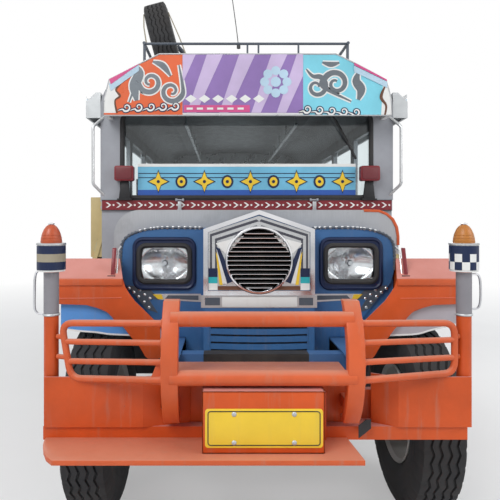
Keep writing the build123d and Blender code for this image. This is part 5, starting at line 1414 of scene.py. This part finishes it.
# Rear wall: doorway trim, lamps, reflectors, blank plate and mud flaps
REAR_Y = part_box("rear_frame")[1].y
door_path = [(-.338, .742), (-.338, 1.886), (.338, 1.886), (.338, .742)]
tube("rear_door_trim", [(x, REAR_Y + .0035, z) for x, z in door_path], .0085, "stainless", 8,
     slot="rear_frame")
for side, tag in OWN_SIDES:
    rim = round_rect(side * .63 - .189, side * .63 + .189, *WINDOW_Z, .054)
    tube("rear_window_bead_" + tag, [(x, REAR_Y + .002, z) for x, z in rim], .0055, "gasket", 8, True,
         slot="rear_frame")
    x = side * .75
    for colour, z0, z1, front, mat in (("red", 1.07, 1.122, .044, "red lens"),
                                       ("amber", 1.128, 1.172, .044, "amber lens"),
                                       ("white", 1.01, 1.062, .043, "lens glass")):
        slab("rear_lens_%s_%s" % (colour, tag), [round_rect(x - .038, x + .038, z0, z1, .01)], REAR_Y + .0375,
             REAR_Y + front, mat, round_edge=.003, slot="tail_lamps")
    add("rear_reflector_" + tag, *lathe([(.03, REAR_Y), (.03, REAR_Y + .006), (.024, REAR_Y + .009),
                                         (.004, REAR_Y + .01)], (x, 0, .88)), "red lens", smooth=True,
        slot="rear_frame")
    x0, x1 = sorted((side * .36, side * .69))
    for mat, z0, z1 in (("orange", .93, .975), ("sky", .985, 1.03)):
        slab("rear_band_%s_%s" % (mat, tag), [rect(x0, x1, z0, z1)], REAR_Y - .0002, REAR_Y + .0012, mat,
             slot="rear_frame")
    x0, x1 = sorted((side * .56, side * .9))
    slab("rear_flap_" + tag, [rect(x0, x1, .25, .64)], 1.8, 1.806, "gasket", round_edge=.001, slot="floor")
    slab("rear_flap_bar_" + tag, [rect(x0, x1, .63, .6795)], 1.794, 1.8, "frame black", round_edge=.001,
         slot="floor")
slab("rear_plate", [round_rect(.375, .665, .745, .885, .01)], REAR_Y + .0005, REAR_Y + .003, "yellow",
     round_edge=.0008, slot="rear_frame")
step_bolts = [(x, 3.02, .43) for x in (-.4, -.13, .13, .4)]
add("step_bolts", *domes(step_bolts, .009, .005, "z", 1), "galvanised", smooth=True, slot="rear_step")

# Roof rack floor: slats across the tray
slats = [brick(-.628, .628, y - .02, y + .02, 2.1525, 2.1585) for y in (-1.0 + .24 * k for k in range(15))]
add("rack_slats", *gather(slats), "galvanised", slot="roof_rack", round_edge=.0015)

# Under the hood: rocker cover, air cleaner, radiator and its hose
slab("rocker_cover", [[(-.075, .9995), (.075, .9995), (.07, 1.035), (.05, 1.05), (-.05, 1.05),
                       (-.07, 1.035)]], -2.15, -1.72, "gunmetal", round_edge=.004, slot="engine")
cleaner = [(.02, 1.049), (.09, 1.052), (.115, 1.06), (.115, 1.098), (.108, 1.106), (.02, 1.112)]
add("air_cleaner", *lathe(cleaner, (0.0, -1.96, 0), "z", 48), "black", smooth=True, slot="engine")
add("air_cleaner_nut", *lathe([(.016, 1.111), (.016, 1.118), (.006, 1.124)], (0.0, -1.96, 0), "z", 12),
    "chrome", smooth=True, slot="engine")
radiator = [brick(-.24, .24, -2.266, -2.232, .64, .98)]
radiator += [brick(-.236, .236, -2.2685, -2.2295, .65 + .0125 * k, .6535 + .0125 * k) for k in range(26)]
add("radiator_core", *gather(radiator), "galvanised", slot="engine")
add("radiator_tanks", *gather([brick(-.246, .246, -2.272, -2.226, .98, 1.016),
                               brick(-.246, .246, -2.272, -2.226, .606, .64)]), "black", slot="engine",
    round_edge=.008)
hose = smooth_path([(.1, -2.23, .998), (.105, -2.205, 1.002), (.105, -2.17, 1.012), (.098, -2.12, 1.012),
                    (.08, -2.1, 1.006)], 5)
tube("radiator_hose", hose, .019, "gasket", 16, slot="engine")
add("radiator_cap", *lathe([(.02, 1.014), (.02, 1.022), (.014, 1.028), (.004, 1.03)], (-.06, -2.249, 0), "z",
                           24), "chrome", smooth=True, slot="engine")

# Wheels: nuts, hub caps and valves
NUT_CIRCLE = .083
for name, centre in corner.items():
    wheel = {"body": "wheel_" + name, "slot": "wheel"}
    out = 1 if centre.x > 0 else -1
    base_x = centre.x + out * .0575
    nuts = []
    for y, z in oval(centre.y, AXLE_Z, NUT_CIRCLE, count=6):
        place = (base_x, y, z)
        nuts.append(lathe([(.012, -out * .001), (.012, out * .013), (.0095, out * .015)], place, "x", 6))
        nuts.append(lathe([(.006, out * .014), (.006, out * .021), (.004, out * .0225)], place, "x", 10))
    add("wheel_nuts_" + name, *gather(nuts), "galvanised", **wheel)
    cap = [(.04, out * .016), (.04, out * .024), (.034, out * .031), (.02, out * .0345), (.004, out * .035)]
    add("hub_cap_" + name, *lathe(cap, (base_x, centre.y, AXLE_Z), "x", 40), "stainless", smooth=True,
        **wheel)
    tube("valve_" + name, [(base_x - out * .012, centre.y + .15, AXLE_Z + .04),
                           (base_x + out * .02, centre.y + .156, AXLE_Z + .042)], .0035, "black plastic", 8,
         **wheel)

# Seat cushions: blown up by cloth simulation between their sewn channels
PRESSURE, SIMULATED_FRAMES, MOST_MOVED, INSET, CORNER_R = 4.0, 20, .012, .004, .026


def whole(obj):
    """A mesh copy of an object with its modifiers applied."""
    made = bpy.data.meshes.new_from_object(obj.evaluated_get(bpy.context.evaluated_depsgraph_get()))
    obj.modifiers.clear()
    obj.data = made
    return obj


def cushion(name, low, high, node, across, sewn, face, seam, voxel):
    """A padded box from low to high: across is the axis of its channels, face the axis out of its seat."""
    low, high = [v + INSET for v in low], [v - INSET for v in high]
    work = bmesh.new()
    bmesh.ops.create_cube(work, size=1.0)
    for v in work.verts:
        v.co = [low[i] + (high[i] - low[i]) * (v.co[i] + .5) for i in range(3)]
    bmesh.ops.bevel(work, geom=work.edges[:], offset=CORNER_R, segments=4, affect="EDGES", profile=.5)
    mesh = bpy.data.meshes.new(name)
    work.to_mesh(mesh)
    work.free()
    pad = bpy.data.objects.new(name, mesh)
    scene.collection.objects.link(pad)
    remesh = pad.modifiers.new("remesh", "REMESH")
    remesh.mode, remesh.voxel_size = "VOXEL", voxel
    whole(pad)
    start = [v.co.copy() for v in pad.data.vertices]
    held = [i for i, p in enumerate(start) if min(abs(p[across] - s) for s in sewn) < voxel * .6
            or p[face[0]] * face[1] < (low if face[1] > 0 else high)[face[0]] * face[1] + voxel]
    pad.vertex_groups.new(name="sewn").add(held, 1.0, "REPLACE")
    cloth = pad.modifiers.new("cloth", "CLOTH").settings
    cloth.quality, cloth.mass = 4, .3
    cloth.use_pressure, cloth.uniform_pressure_force = True, PRESSURE
    cloth.effector_weights.gravity = 0
    cloth.vertex_group_mass = "sewn"
    for step in range(1, SIMULATED_FRAMES + 1):
        scene.frame_set(step)
    whole(pad)
    for v, p in zip(pad.data.vertices, start):
        moved = v.co - p
        if moved.length > MOST_MOVED:
            v.co = p + moved * (MOST_MOVED / moved.length)
    scene.frame_set(1)
    pad.modifiers.new("smooth", "SUBSURF").levels = 1
    whole(pad)
    pad.data.materials.clear()
    pad.data.materials.append(mats["seat vinyl"])
    pad.data.shade_smooth()
    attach(pad, "body")
    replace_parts(pad, node)
    i, j = [axis for axis in range(3) if axis != face[0]]
    path = []
    for u, v in round_rect(low[i] + .001, high[i] - .001, low[j] + .001, high[j] - .001, CORNER_R):
        point = [seam, seam, seam]
        point[i], point[j] = u, v
        path.append(point)
    tube(name + "_piping", path, .0042, "black plastic", 6, True, slot=node)
    return pad


def seams(low, high, count):
    """The places of the sewn seams between a count of equal channels."""
    return [low + (high - low) * k / count for k in range(1, count)]


BENCH_Y, BENCH_SEAMS = (-.19, 2.79), seams(-.19, 2.79, 12)
SEAT_X, SEAT_SEAMS = (-.83, .83), seams(-.83, .83, 8)
for side, tag in OWN_SIDES:
    x0, x1 = sorted((side * .48, side * .858))
    cushion("bench_cushion_" + tag, (x0, BENCH_Y[0], 1.0903), (x1, BENCH_Y[1], 1.1803), "bench_cushions", 1,
            BENCH_SEAMS, (2, 1), 1.15, .014)
cushion("front_seat_cushion", (SEAT_X[0], -.775, 1.0003), (SEAT_X[1], -.29, 1.1103), "front_seat_cushions", 0,
        SEAT_SEAMS, (2, 1), 1.08, .012)
cushion("front_back_cushion", (SEAT_X[0], -.3553, 1.1106), (SEAT_X[1], -.2853, 1.49), "front_seat_cushions",
        0, SEAT_SEAMS, (1, -1), -.33, .012)
